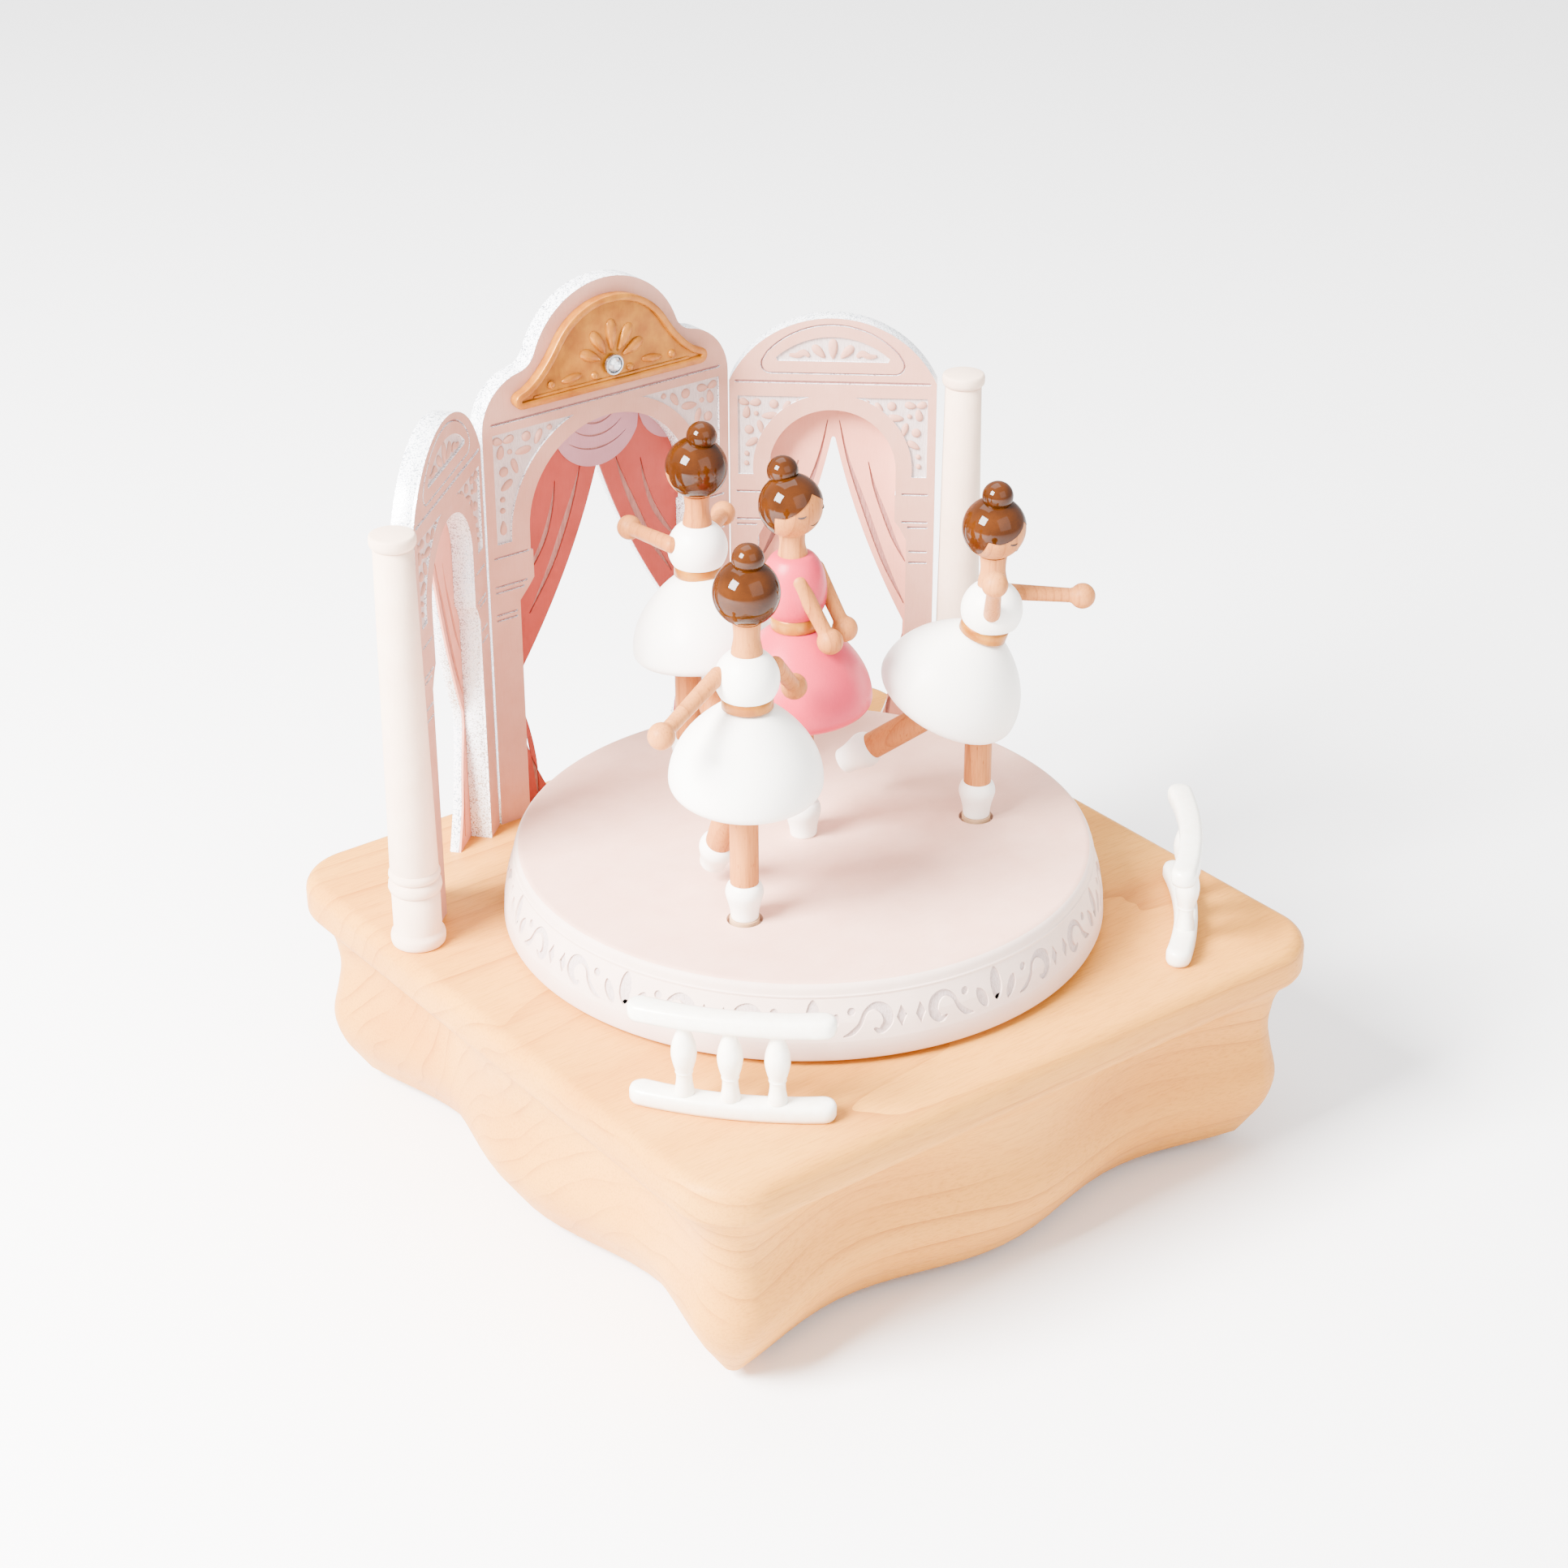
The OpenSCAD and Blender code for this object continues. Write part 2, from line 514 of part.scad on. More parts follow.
// The solo dancer stands still on the stage centre, leaning a little from the foot
solo_waist_z = 48.2;
solo_facing = -65;
solo_face_way = -76;
solo_lean = 2;
solo_lean_way = 143;
solo_belt_h = 3;
solo_chest_z = solo_waist_z + solo_belt_h;
solo_head_z = solo_chest_z + 23.6;
solo_neck_top = solo_head_z + neck_top - head_up - solo_chest_z;
solo_leg_l = solo_waist_z - 12;
solo_sink = 0.2;
solo_shoulder = [5, 50, solo_chest_z + 8.8];
solo_hand = [10.1, 19, solo_waist_z - 0.3];
module at_stage_centre() translate([0, stage_y, deck_z]) children();
module at_solo() at_stage_centre() rotate(solo_lean_way) rotate([0, solo_lean, 0]) rotate(-solo_lean_way)
  rotate(solo_facing) children();
// Egg-shaped bodice and its neck, standing on the belt
module solo_bust() translate([0, 0, solo_chest_z]) rotate_extrude() polygon([[0, 0], [belt_r, 0], [5.65, 0.75],
  [6.1, 1.6], [6.5, 3], [6.7, 4.3], [6.75, 5.6], [6.6, 7.2], [6.25, 9], [5.6, 10.9], [4.6, 12.4], [3.9, 12.9],
  [collar_r, 13.1], [neck_r, 15], [neck_r - 0.05, 16.2], [neck_r + 0.1, solo_neck_top], [0, solo_neck_top]]);
module solo_leg() color(beech) {
  difference() {
    at_solo() translate([0, 0, -solo_sink]) turned_leg(solo_leg_l + solo_sink);
    at_stage_centre() translate([-10, -10, -10]) cube([20, 20, 10]);
  }
  at_stage_centre() translate([0, 0, -tenon_l]) cylinder(h = tenon_l + 1, r = tenon_r);
}
module solo_skirt() color(pink) at_solo() difference() {
  translate([0, 0, solo_waist_z]) bell(skirt_r, skirt_h);
  cylinder(h = solo_leg_l, r = leg_r);
}
module solo_belt() color(gold) at_solo() translate([0, 0, solo_waist_z]) cylinder(h = solo_belt_h, r = belt_r);
module solo_torso() color(pink) at_solo() solo_bust();
module solo_head() color(hair) at_solo() translate([0, 0, solo_head_z]) rotate(solo_face_way - solo_facing)
  turned_head(head_r);
module solo_arms() color(beech) at_solo() difference() {
  for (s = [-1, 1]) arm(spot(solo_shoulder[0], s * solo_shoulder[1], solo_shoulder[2]),
    spot(solo_hand[0], s * solo_hand[1], solo_hand[2]));
  solo_bust();
}

// ---------- backdrop ----------
crown_dome_r = 19.5;
shoulder_r = 12;
fillet_r = 5;
arch_z = 69;
arch_r = 21.2;
pillar_w = 7.6;
wing_pillar_w = 6.2;
wing_arch_r = 14.2;
wing_arch_z = 69.8;
wing_h = 105.3;
wing_eave_z = 90.5;
capital_low_z = 56;
capital_top_z = 64;
// Centre of a circle of radius r touching two circles from outside, on the right-hand side
function touching(c1, r1, c2, r2, r) = let (d = norm(c2 - c1), a = r1 + r, b = r2 + r,
  x = (a * a - b * b + d * d) / (2 * d), y = sqrt(a * a - x * x), u = (c2 - c1) / d) c1 + x * u + y * [-u.y, u.x];
function way(from, to) = atan2(to.y - from.y, to.x - from.x);
// Right half of the ogee top, from the eave up to the crown
function ogee_half(w, h) = let (dome_c = [0, h - crown_dome_r], side_c = [w / 2 - shoulder_r, h - 28],
  f = touching(side_c, shoulder_r, dome_c, crown_dome_r, fillet_r),
  d = (f.y > side_c.y) ? f : touching(dome_c, crown_dome_r, side_c, shoulder_r, fillet_r))
  concat(arc(side_c, shoulder_r, 0, way(side_c, d), 8), arc(d, fillet_r, way(d, side_c), way(d, dome_c), 5),
    arc(dome_c, crown_dome_r, way(dome_c, d), 90, 9));
module panel_outline(w, h) polygon(concat([[w / 2, 0]], ogee_half(w, h), mirrored(ogee_half(w, h)), [[-w / 2, 0]]));
// Doorway: half width at the foot, at the capital and in the arch above it
module doorway(foot, capital, r, z) polygon(concat([[foot, -1], [foot, capital_low_z - 3], [capital + 1.2, capital_low_z],
  [capital, capital_low_z + 1.6], [capital, capital_top_z], [r, capital_top_z]], arc([0, z], r, 0, 180, 24),
  [[-r, capital_top_z], [-capital, capital_top_z], [-capital, capital_low_z + 1.6], [-capital - 1.2, capital_low_z],
  [-foot, capital_low_z - 3], [-foot, -1]]));
module center_panel() color(wash) translate([0, panel_y, top_z]) upright(panel_t) difference() {
  panel_outline(panel_w, panel_h);
  doorway(panel_w / 2 - pillar_w, arch_r - 0.6, arch_r, arch_z);
}
wing_dome_r = (pow(wing_w / 2, 2) + pow(wing_h - wing_eave_z, 2)) / (2 * (wing_h - wing_eave_z));
wing_half_angle = asin(wing_w / 2 / wing_dome_r);
module wing_outline() polygon(concat([[wing_w / 2, 0]],
  arc([0, wing_h - wing_dome_r], wing_dome_r, 90 - wing_half_angle, 90 + wing_half_angle, 24), [[-wing_w / 2, 0]]));
// Places a side panel: its inner edge meets the back corner of the middle panel
module at_wing(s) translate([s * (panel_w / 2 + 0.4), panel_y + 0.2, top_z]) rotate(-s * wing_turn)
  translate([s * wing_w / 2, 0, 0]) children();
module side_panel(s) color(wash) at_wing(s) upright(panel_t) difference() {
  wing_outline();
  doorway(wing_w / 2 - wing_pillar_w, wing_arch_r - 0.1, wing_arch_r, wing_arch_z);
}
curtain_lap = 2;
// Half of an open curtain: its inner edge runs from the peak down to the tie-back and flares out again
function curtain_inner(peak, tie_x, tie_z, hem_x) = [[0.4, peak], for (i = [1 : 8]) let (u = i / 8)
  [0.4 + (tie_x - 0.4) * (0.62 * u + 0.38 * u * u), peak + (tie_z - peak) * u],
  for (i = [1 : 5]) let (u = i / 5) [tie_x + (hem_x - tie_x) * u * u, tie_z * (1 - u)]];
module curtain(out_x, peak, tie_x, tie_z, hem_x, top) upright(curtain_t) {
  half = concat(curtain_inner(peak, tie_x, tie_z, hem_x), [[out_x, 0], [out_x, top - 9], [out_x - 9, top]]);
  polygon(concat(half, mirrored(half)));
}
module center_curtain() color(coral) translate([0, panel_y + panel_t, top_z])
  curtain(panel_w / 2 - 3, 77, panel_w / 2 - pillar_w - 0.6, 31, 15, arch_z + arch_r + curtain_lap);
module side_curtain(s) color(peach) at_wing(s) translate([0, panel_t, 0])
  curtain(wing_w / 2 - 2.4, 75.5, wing_w / 2 - wing_pillar_w - 0.6, 31, 9, wing_arch_z + wing_arch_r + curtain_lap);
pediment_t = 2.6;
pediment_w = 49.6;
pediment_z = 97.3;
pediment_top = 117.7;
pediment_dome_r = 16.7;
// Bell-shaped tablet with rounded toes
module gold_pediment() color(gold) translate([0, panel_y - pediment_t, top_z]) upright(pediment_t) {
  dome_z = pediment_top - pediment_dome_r;
  toe_r = 1.8;
  toe_x = pediment_w / 2 - toe_r;
  toe_top = pediment_z + 2 * toe_r;
  crown_x = 14;
  crown_foot = dome_z + sqrt(pow(pediment_dome_r, 2) - pow(crown_x, 2));
  half = [for (i = [0 : 10]) let (u = i / 10)
    [toe_x + (crown_x - toe_x) * u, toe_top + (crown_foot - toe_top) * (u * u * 0.55 + u * 0.45)]];
  crown = [for (i = [0 : 12]) let (a = acos(crown_x / pediment_dome_r), b = a + (90 - a) * i / 12)
    [0, dome_z] + polar(pediment_dome_r, b)];
  right = concat(arc([pediment_w / 2 - toe_r, pediment_z + toe_r], toe_r, -90, 80, 6), half, crown);
  polygon(concat(right, mirrored(right)));
}
gem_r = 1.9;
gem_z = 102.3;
module rhinestone() color("#E8EEF2") translate([0, panel_y - pediment_t, top_z + gem_z]) rotate([90, 0, 0])
  cylinder(h = 1.2, r1 = gem_r, r2 = gem_r * 0.6);

// ---------- columns and balustrades ----------
column_foot_r = 5.75;
column_foot_h = 3.1;
column_low_r = 5.05;
column_high_r = 4.05;
column_ring_r = 5.6;
column_cap_r = 4.75;
column_cap_h = 2.8;
// Each column stands at the outer end of its side panel, on the panel's middle plane
module at_column(s) at_wing(s) translate([s * (wing_w / 2 + column_foot_r + 0.1), panel_t / 2, 0]) children();
module columns() color(wash) for (s = [-1, 1]) at_column(s) rotate_extrude() polygon(concat(
  [[0, 0], [column_foot_r - 0.85, 0]],
  arc([column_foot_r - column_foot_h / 2, column_foot_h / 2], column_foot_h / 2, -60, 60, 5),
  [[column_low_r, column_foot_h], [column_low_r, 12.2]],
  arc([column_ring_r - 1.4, 13.8], 1.4, -80, 80, 5), arc([column_ring_r - 1.25, 16.55], 1.05, -80, 80, 4),
  [[column_low_r, 17.8], [column_high_r, column_h - column_cap_h - 0.1], [column_high_r, column_h - column_cap_h],
    [column_cap_r, column_h - 2], [column_cap_r, column_h - 0.6], [column_cap_r - 0.5, column_h], [0, column_h]]));
module rail_outline() union() {
  rotate(-rail_arc / 2) difference() {
    intersection() {
      circle(r = rail_orbit_r + rail_w / 2, $fn = 180);
      polygon([[0, 0], polar(2 * rail_orbit_r, 0), polar(2 * rail_orbit_r, rail_arc)]);
    }
    circle(r = rail_orbit_r - rail_w / 2, $fn = 180);
  }
  for (a = [-rail_arc / 2, rail_arc / 2]) translate(polar(rail_orbit_r, a)) circle(r = rail_w / 2, $fn = 32);
}
module at_balustrades() for (s = [-1, 1]) translate([0, stage_y, top_z]) rotate(-90 + s * rail_turn) children();
module bottom_rails() color(ivory) at_balustrades() linear_extrude(rail_h) rail_outline();
module handrails() color(ivory) at_balustrades() translate([0, 0, balustrade_h - rail_h]) linear_extrude(rail_h)
  rail_outline();
baluster_pitch = 6.4;
baluster_h = balustrade_h - 2 * rail_h;
// Radius of a baluster at parts of its height
baluster_profile = [[1.95, 0], [1.9, 0.05], [1.55, 0.2], [1.55, 0.29], [1.75, 0.32], [1.7, 0.35], [2.2, 0.47],
  [2.5, 0.6], [2.3, 0.73], [1.7, 0.87], [1.45, 0.93], [1.6, 1]];
module baluster() rotate_extrude($fn = 32) polygon(concat([[0, 0]],
  [for (p = baluster_profile) [p[0], p[1] * baluster_h]], [[0, baluster_h]]));
module balusters() color(ivory) at_balustrades() for (i = [-1 : 1]) rotate(i * baluster_pitch)
  translate([rail_orbit_r, 0, rail_h]) baluster();

// ---------- the assembly ----------
base_body();
bottom_cover();
cover_screws();
rubber_feet();
stage_bearing();
sun_gear();
sun_gear_screws();
center_panel();
side_panel(-1);  // left_panel
side_panel(1);  // right_panel
center_curtain();
side_curtain(-1);  // left_curtain
side_curtain(1);  // right_curtain
gold_pediment();
rhinestone();
columns();
bottom_rails();
balusters();
handrails();
movement_bedplate();
movement_screws();
comb();
governor_bracket();
music_cylinder();
governor_gear();
governor_fan();
stage_disc();
stage_hub();
hub_screws();
spring_barrel();
solo_leg();
solo_skirt();
solo_belt();
solo_torso();
solo_head();
solo_arms();
dancer_spindle(0);  // front_spindle
dancer_leg(0, DANCERS[0]);  // front_leg
dancer_raised_leg(0, DANCERS[0]);  // front_raised_leg
dancer_skirt(0, DANCERS[0]);  // front_skirt
dancer_belt(0, DANCERS[0]);  // front_belt
dancer_torso(0, DANCERS[0]);  // front_torso
dancer_head(0, DANCERS[0]);  // front_head
dancer_arms(0, DANCERS[0]);  // front_arms
dancer_spindle(1);  // right_spindle
dancer_leg(1, DANCERS[1]);  // right_leg
dancer_raised_leg(1, DANCERS[1]);  // right_raised_leg
dancer_skirt(1, DANCERS[1]);  // right_skirt
dancer_belt(1, DANCERS[1]);  // right_belt
dancer_torso(1, DANCERS[1]);  // right_torso
dancer_head(1, DANCERS[1]);  // right_head
dancer_arms(1, DANCERS[1]);  // right_arms
dancer_spindle(2);  // back_spindle
dancer_leg(2, DANCERS[2]);  // back_leg
dancer_raised_leg(2, DANCERS[2]);  // back_raised_leg
dancer_skirt(2, DANCERS[2]);  // back_skirt
dancer_belt(2, DANCERS[2]);  // back_belt
dancer_torso(2, DANCERS[2]);  // back_torso
dancer_head(2, DANCERS[2]);  // back_head
dancer_arms(2, DANCERS[2]);  // back_arms
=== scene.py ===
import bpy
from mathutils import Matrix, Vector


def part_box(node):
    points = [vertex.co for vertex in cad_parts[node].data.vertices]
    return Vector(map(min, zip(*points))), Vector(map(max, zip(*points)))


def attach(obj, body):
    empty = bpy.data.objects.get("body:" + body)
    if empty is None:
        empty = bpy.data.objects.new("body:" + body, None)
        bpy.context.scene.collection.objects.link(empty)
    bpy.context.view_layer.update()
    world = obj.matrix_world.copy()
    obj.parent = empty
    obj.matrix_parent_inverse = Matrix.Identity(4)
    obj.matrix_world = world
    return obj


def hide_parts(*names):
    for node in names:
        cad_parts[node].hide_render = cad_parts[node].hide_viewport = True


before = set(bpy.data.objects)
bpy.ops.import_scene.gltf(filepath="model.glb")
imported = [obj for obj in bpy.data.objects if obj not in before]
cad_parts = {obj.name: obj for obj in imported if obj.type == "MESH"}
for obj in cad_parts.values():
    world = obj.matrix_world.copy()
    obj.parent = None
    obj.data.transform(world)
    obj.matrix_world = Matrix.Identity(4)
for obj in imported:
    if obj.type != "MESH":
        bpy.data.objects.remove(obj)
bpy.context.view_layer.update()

from math import acos, asin, atan2, cos, degrees, exp, hypot, pi, radians, sin, sqrt

import bmesh
import bpy
from mathutils import Matrix, Vector

MM = 0.001
ORIGIN = Vector((0, 0, 0))
UP = Vector((0, 0, 1))

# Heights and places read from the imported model, in millimetres


def mm_box(node):
    """A CAD node's lowest and highest corners in millimetres."""
    low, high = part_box(node)
    return Vector(low) / MM, Vector(high) / MM


BASE_LOW, BASE_HIGH = mm_box("base_body")
STAGE_LOW, STAGE_HIGH = mm_box("stage_disc")
PANEL_LOW, PANEL_HIGH = mm_box("center_panel")
PEDIMENT_LOW, PEDIMENT_HIGH = mm_box("gold_pediment")
BASE_TOP = BASE_HIGH.z
DECK = STAGE_HIGH.z
STAGE_Y = (STAGE_LOW.y + STAGE_HIGH.y) / 2
STAGE_FOOT_R = (STAGE_HIGH.x - STAGE_LOW.x) / 2
BASE_W = BASE_HIGH.x - BASE_LOW.x
BASE_H = BASE_TOP - BASE_LOW.z
PANEL_W = PANEL_HIGH.x - PANEL_LOW.x
PANEL_H = PANEL_HIGH.z - BASE_TOP
PANEL_Y = PANEL_LOW.y
PANEL_T = PANEL_HIGH.y - PANEL_LOW.y


# ---------- camera, floor and light ----------


def make_camera():
    """The camera stands in front of the left corner and looks down on the stage."""
    camera = bpy.data.objects.new("camera", bpy.data.cameras.new("camera"))
    bpy.context.scene.collection.objects.link(camera)
    place, aim, roll = Vector((-0.3464, -0.4510, 0.3832)), Vector((-0.02036, -0.02238, 0.09702)), -0.126
    turn = (place - aim).to_track_quat("Z", "Y").to_matrix().to_4x4() @ Matrix.Rotation(radians(roll), 4, "Z")
    camera.matrix_world = Matrix.Translation(place) @ turn
    camera.data.sensor_width = 36
    camera.data.lens = 70.47
    bpy.context.scene.camera = camera


def soft_light(name, place, aim, size, power, colour=(1, 1, 1)):
    """One large soft box."""
    lamp = bpy.data.objects.new(name, bpy.data.lights.new(name, "AREA"))
    bpy.context.scene.collection.objects.link(lamp)
    lamp.data.size, lamp.data.energy, lamp.data.color = size, power, colour
    lamp.matrix_world = (Matrix.Translation(place)
                         @ (Vector(place) - Vector(aim)).to_track_quat("Z", "Y").to_matrix().to_4x4())


def make_studio():
    """A plain pale floor and soft light from the upper left."""
    bm = bmesh.new()
    bmesh.ops.create_grid(bm, x_segments=1, y_segments=1, size=6)
    mesh = bpy.data.meshes.new("floor")
    bm.to_mesh(mesh)
    bm.free()
    floor = bpy.data.objects.new("floor", mesh)
    bpy.context.scene.collection.objects.link(floor)
    paper = bpy.data.materials.new("floor_paper")
    paper.use_nodes = True
    paper.node_tree.nodes["Principled BSDF"].inputs["Base Color"].default_value = (0.93, 0.93, 0.935, 1)
    paper.node_tree.nodes["Principled BSDF"].inputs["Roughness"].default_value = 0.95
    mesh.materials.append(paper)
    world = bpy.data.worlds.new("studio")
    world.use_nodes = True
    world.node_tree.nodes["Background"].inputs["Color"].default_value = (0.985, 0.99, 1.0, 1)
    world.node_tree.nodes["Background"].inputs["Strength"].default_value = 1.6
    bpy.context.scene.world = world
    soft_light("window_left", (-0.84, 0.045, 0.77), (0, 0, 0.06), 0.5, 128, (1.0, 0.985, 0.965))
    soft_light("fill_front", (0.04, -1.0, 0.7), (0, 0, 0.06), 0.9, 7)
    soft_light("top", (0.1, 0.5, 1.4), (0, 0, 0.05), 1.1, 22)


# ---------- materials ----------


def node(tree, kind, inputs=(), **settings):
    """Adds a shader node. An input may be a plain value or another node's output."""
    made = tree.nodes.new(kind)
    for key, value in settings.items():
        setattr(made, key, value)
    for key, value in dict(inputs).items():
        if isinstance(value, bpy.types.NodeSocket):
            tree.links.new(value, made.inputs[key])
        else:
            made.inputs[key].default_value = value
    return made


def srgb(code):
    """A web colour as linear red, green, blue and alpha."""
    parts = [int(code[i:i + 2], 16) / 255 for i in (1, 3, 5)]
    return tuple(c / 12.92 if c <= 0.04045 else ((c + 0.055) / 1.055) ** 2.4 for c in parts) + (1,)


def math_node(tree, operation, a, b=0.0):
    """The output of one arithmetic node."""
    return node(tree, "ShaderNodeMath", {0: a, 1: b}, operation=operation).outputs[0]


def blend(tree, factor, a, b, how="MIX"):
    """The output of a colour mix."""
    return node(tree, "ShaderNodeMix", {0: factor, 6: a, 7: b}, data_type="RGBA", blend_type=how).outputs[2]


def spread(tree, value, low, high, to_low=0.0, to_high=1.0):
    """Stretches a value from one range to another and clamps it."""
    return node(tree, "ShaderNodeMapRange", {0: value, 1: low, 2: high, 3: to_low, 4: to_high}).outputs[0]


def placed(tree, scale=(1, 1, 1), turn=(0, 0, 0)):
    """Object coordinates in millimetres, turned and then stretched."""
    here = node(tree, "ShaderNodeTexCoord").outputs["Object"]
    turned = node(tree, "ShaderNodeMapping", {"Vector": here, "Rotation": [radians(a) for a in turn]})
    size = [1000 * s for s in scale]
    return node(tree, "ShaderNodeMapping", {"Vector": turned.outputs[0], "Scale": size}).outputs[0]


def noise(tree, vector, scale, detail=3.0, rough=0.5, distort=0.0):
    """A noise value around one half."""
    return node(tree, "ShaderNodeTexNoise", {"Vector": vector, "Scale": scale, "Detail": detail,
                                             "Roughness": rough, "Distortion": distort}).outputs[0]


def finish_of(name, coat=0.0, coat_rough=0.2, metallic=0.0, specular=0.5):
    """A new material with its shader and tree."""
    made = bpy.data.materials.new(name)
    made.use_nodes = True
    shader = made.node_tree.nodes["Principled BSDF"]
    shader.inputs["Coat Weight"].default_value = coat
    shader.inputs["Coat Roughness"].default_value = coat_rough
    shader.inputs["Metallic"].default_value = metallic
    shader.inputs["Specular IOR Level"].default_value = specular
    return made, made.node_tree, shader


def join_up(tree, shader, colour, rough, height=None, depth=0.1, strength=0.5):
    """Links a colour, a roughness and a bump of the given depth in millimetres to the shader."""
    for key, value in (("Base Color", colour), ("Roughness", rough)):
        if isinstance(value, bpy.types.NodeSocket):
            tree.links.new(value, shader.inputs[key])
        else:
            shader.inputs[key].default_value = value
    if height is not None:
        bump = node(tree, "ShaderNodeBump", {"Height": height, "Distance": depth * MM, "Strength": strength})
        tree.links.new(bump.outputs[0], shader.inputs["Normal"])


def solid_wood(name, light, mid, line, heart=(0, -60, -45), ring=5.2, turn=(0, 0, 0), fleck=0.35):
    """Timber whose growth rings run round a heart line along its own X axis."""
    made, tree, shader = finish_of(name, coat=0.05, coat_rough=0.45, specular=0.12)
    grain = placed(tree, (0.13, 1, 1), turn)
    lazy = noise(tree, placed(tree, (0.16, 1, 1), turn), 0.028, 2, 0.45)
    from_heart = (0, -heart[1], -heart[2])
    off = node(tree, "ShaderNodeVectorMath", {0: grain, 1: from_heart}, operation="ADD").outputs[0]
    flat = node(tree, "ShaderNodeVectorMath", {0: off, 1: (0.06, 1, 1)}, operation="MULTIPLY").outputs[0]
    far = node(tree, "ShaderNodeVectorMath", {0: flat}, operation="LENGTH").outputs["Value"]
    wavy = math_node(tree, "ADD", far, math_node(tree, "MULTIPLY", lazy, 26.0))
    turns = math_node(tree, "FRACT", math_node(tree, "DIVIDE", wavy, ring))
    late = math_node(tree, "POWER", turns, 7.0)
    weight = spread(tree, noise(tree, grain, 0.09, 2), 0.38, 0.66, 0.15, 1.0)
    seam = math_node(tree, "MULTIPLY", late, weight)
    fibre = noise(tree, placed(tree, (0.07, 1, 1), turn), 2.6, 4, 0.6)
    cells = node(tree, "ShaderNodeTexVoronoi", {"Vector": placed(tree, (0.22, 1, 1), turn), "Scale": 1.15},
                 feature="F1").outputs["Distance"]
    flecks = spread(tree, cells, 0.16, 0.03)
    shade = noise(tree, grain, 0.035, 3)
    colour = blend(tree, spread(tree, shade, 0.35, 0.68), light, mid)
    colour = blend(tree, spread(tree, fibre, 0.46, 0.8, 0, 0.42), colour, line)
    colour = blend(tree, math_node(tree, "MULTIPLY", seam, 0.62), colour, line)
    colour = blend(tree, math_node(tree, "MULTIPLY", flecks, fleck), colour, line)
    height = math_node(tree, "SUBTRACT", fibre, math_node(tree, "MULTIPLY", flecks, 0.5))
    join_up(tree, shader, colour, spread(tree, fibre, 0.3, 0.8, 0.42, 0.58), height, 0.08, 0.35)
    return made


def painted_wood(name, colour, tint, gloss, coat, grain=(1, 1, 0.08), show=0.25, depth=0.05):
    """Satin paint with the timber's fibres and brush marks just showing through."""
    made, tree, shader = finish_of(name, coat=coat, coat_rough=0.3, specular=0.15)
    fibre = noise(tree, placed(tree, grain), 3.4, 4, 0.6)
    patch = noise(tree, placed(tree), 0.16, 3, 0.55)
    speck = noise(tree, placed(tree), 5.5, 2, 0.5)
    mixed = blend(tree, spread(tree, patch, 0.3, 0.75, 0, show), colour, tint)
    mixed = blend(tree, spread(tree, fibre, 0.5, 0.85, 0, show), mixed, tint)
    height = math_node(tree, "ADD", fibre, math_node(tree, "MULTIPLY", speck, 0.6))
    rough = spread(tree, patch, 0.3, 0.7, gloss - 0.06, gloss + 0.08)
    join_up(tree, shader, mixed, rough, height, depth, 0.45)
    return made


def hair_lacquer(name):
    """Thick brown lacquer with fine ripples over a turned bead."""
    made, tree, shader = finish_of(name, coat=0.45, coat_rough=0.035, specular=0.0)
    ripple = noise(tree, placed(tree, (1, 1, 1.6)), 0.42, 3, 0.55, 0.6)
    fibre = noise(tree, placed(tree, (0.35, 0.35, 1.2)), 2.4, 4, 0.6)
    patch = noise(tree, placed(tree), 0.22, 2)
    colour = blend(tree, spread(tree, patch, 0.3, 0.7), srgb("#2E1403"), srgb("#3E1D05"))
    colour = blend(tree, spread(tree, fibre, 0.52, 0.9, 0, 0.35), colour, srgb("#200D02"))
    height = math_node(tree, "ADD", ripple, math_node(tree, "MULTIPLY", fibre, 0.25))
    join_up(tree, shader, colour, 0.34, height, 0.16, 0.32)
    return made


def gold_leafed(name):
    """Warm gold paint, brighter where it is rubbed."""
    made, tree, shader = finish_of(name, coat=0.08, coat_rough=0.22, metallic=0.3, specular=0.3)
    brush = noise(tree, placed(tree, (1, 1, 0.25)), 2.2, 4, 0.6)
    patch = noise(tree, placed(tree), 0.25, 3)
    colour = blend(tree, spread(tree, patch, 0.3, 0.7), srgb("#8E4E08"), srgb("#B07016"))
    colour = blend(tree, spread(tree, brush, 0.5, 0.9, 0, 0.4), colour, srgb("#74400A"))
    join_up(tree, shader, colour, spread(tree, brush, 0.3, 0.8, 0.28, 0.46), brush, 0.05, 0.4)
    return made


def cast_resin(name):
    """Cream resin with a soft gleam and faint casting ripples."""
    made, tree, shader = finish_of(name, coat=0.5, coat_rough=0.16, specular=0.5)
    shader.inputs["Subsurface Weight"].default_value = 0.12
    shader.inputs["Subsurface Radius"].default_value = (0.002, 0.0014, 0.001)
    ripple = noise(tree, placed(tree), 0.55, 3, 0.5)
    pit = noise(tree, placed(tree), 4.5, 2, 0.6)
    colour = blend(tree, spread(tree, ripple, 0.3, 0.75), srgb("#FBF7EC"), srgb("#F3EBDD"))
    height = math_node(tree, "ADD", ripple, math_node(tree, "MULTIPLY", pit, 0.12))
    join_up(tree, shader, colour, spread(tree, pit, 0.3, 0.7, 0.3, 0.42), height, 0.14, 0.4)
    return made


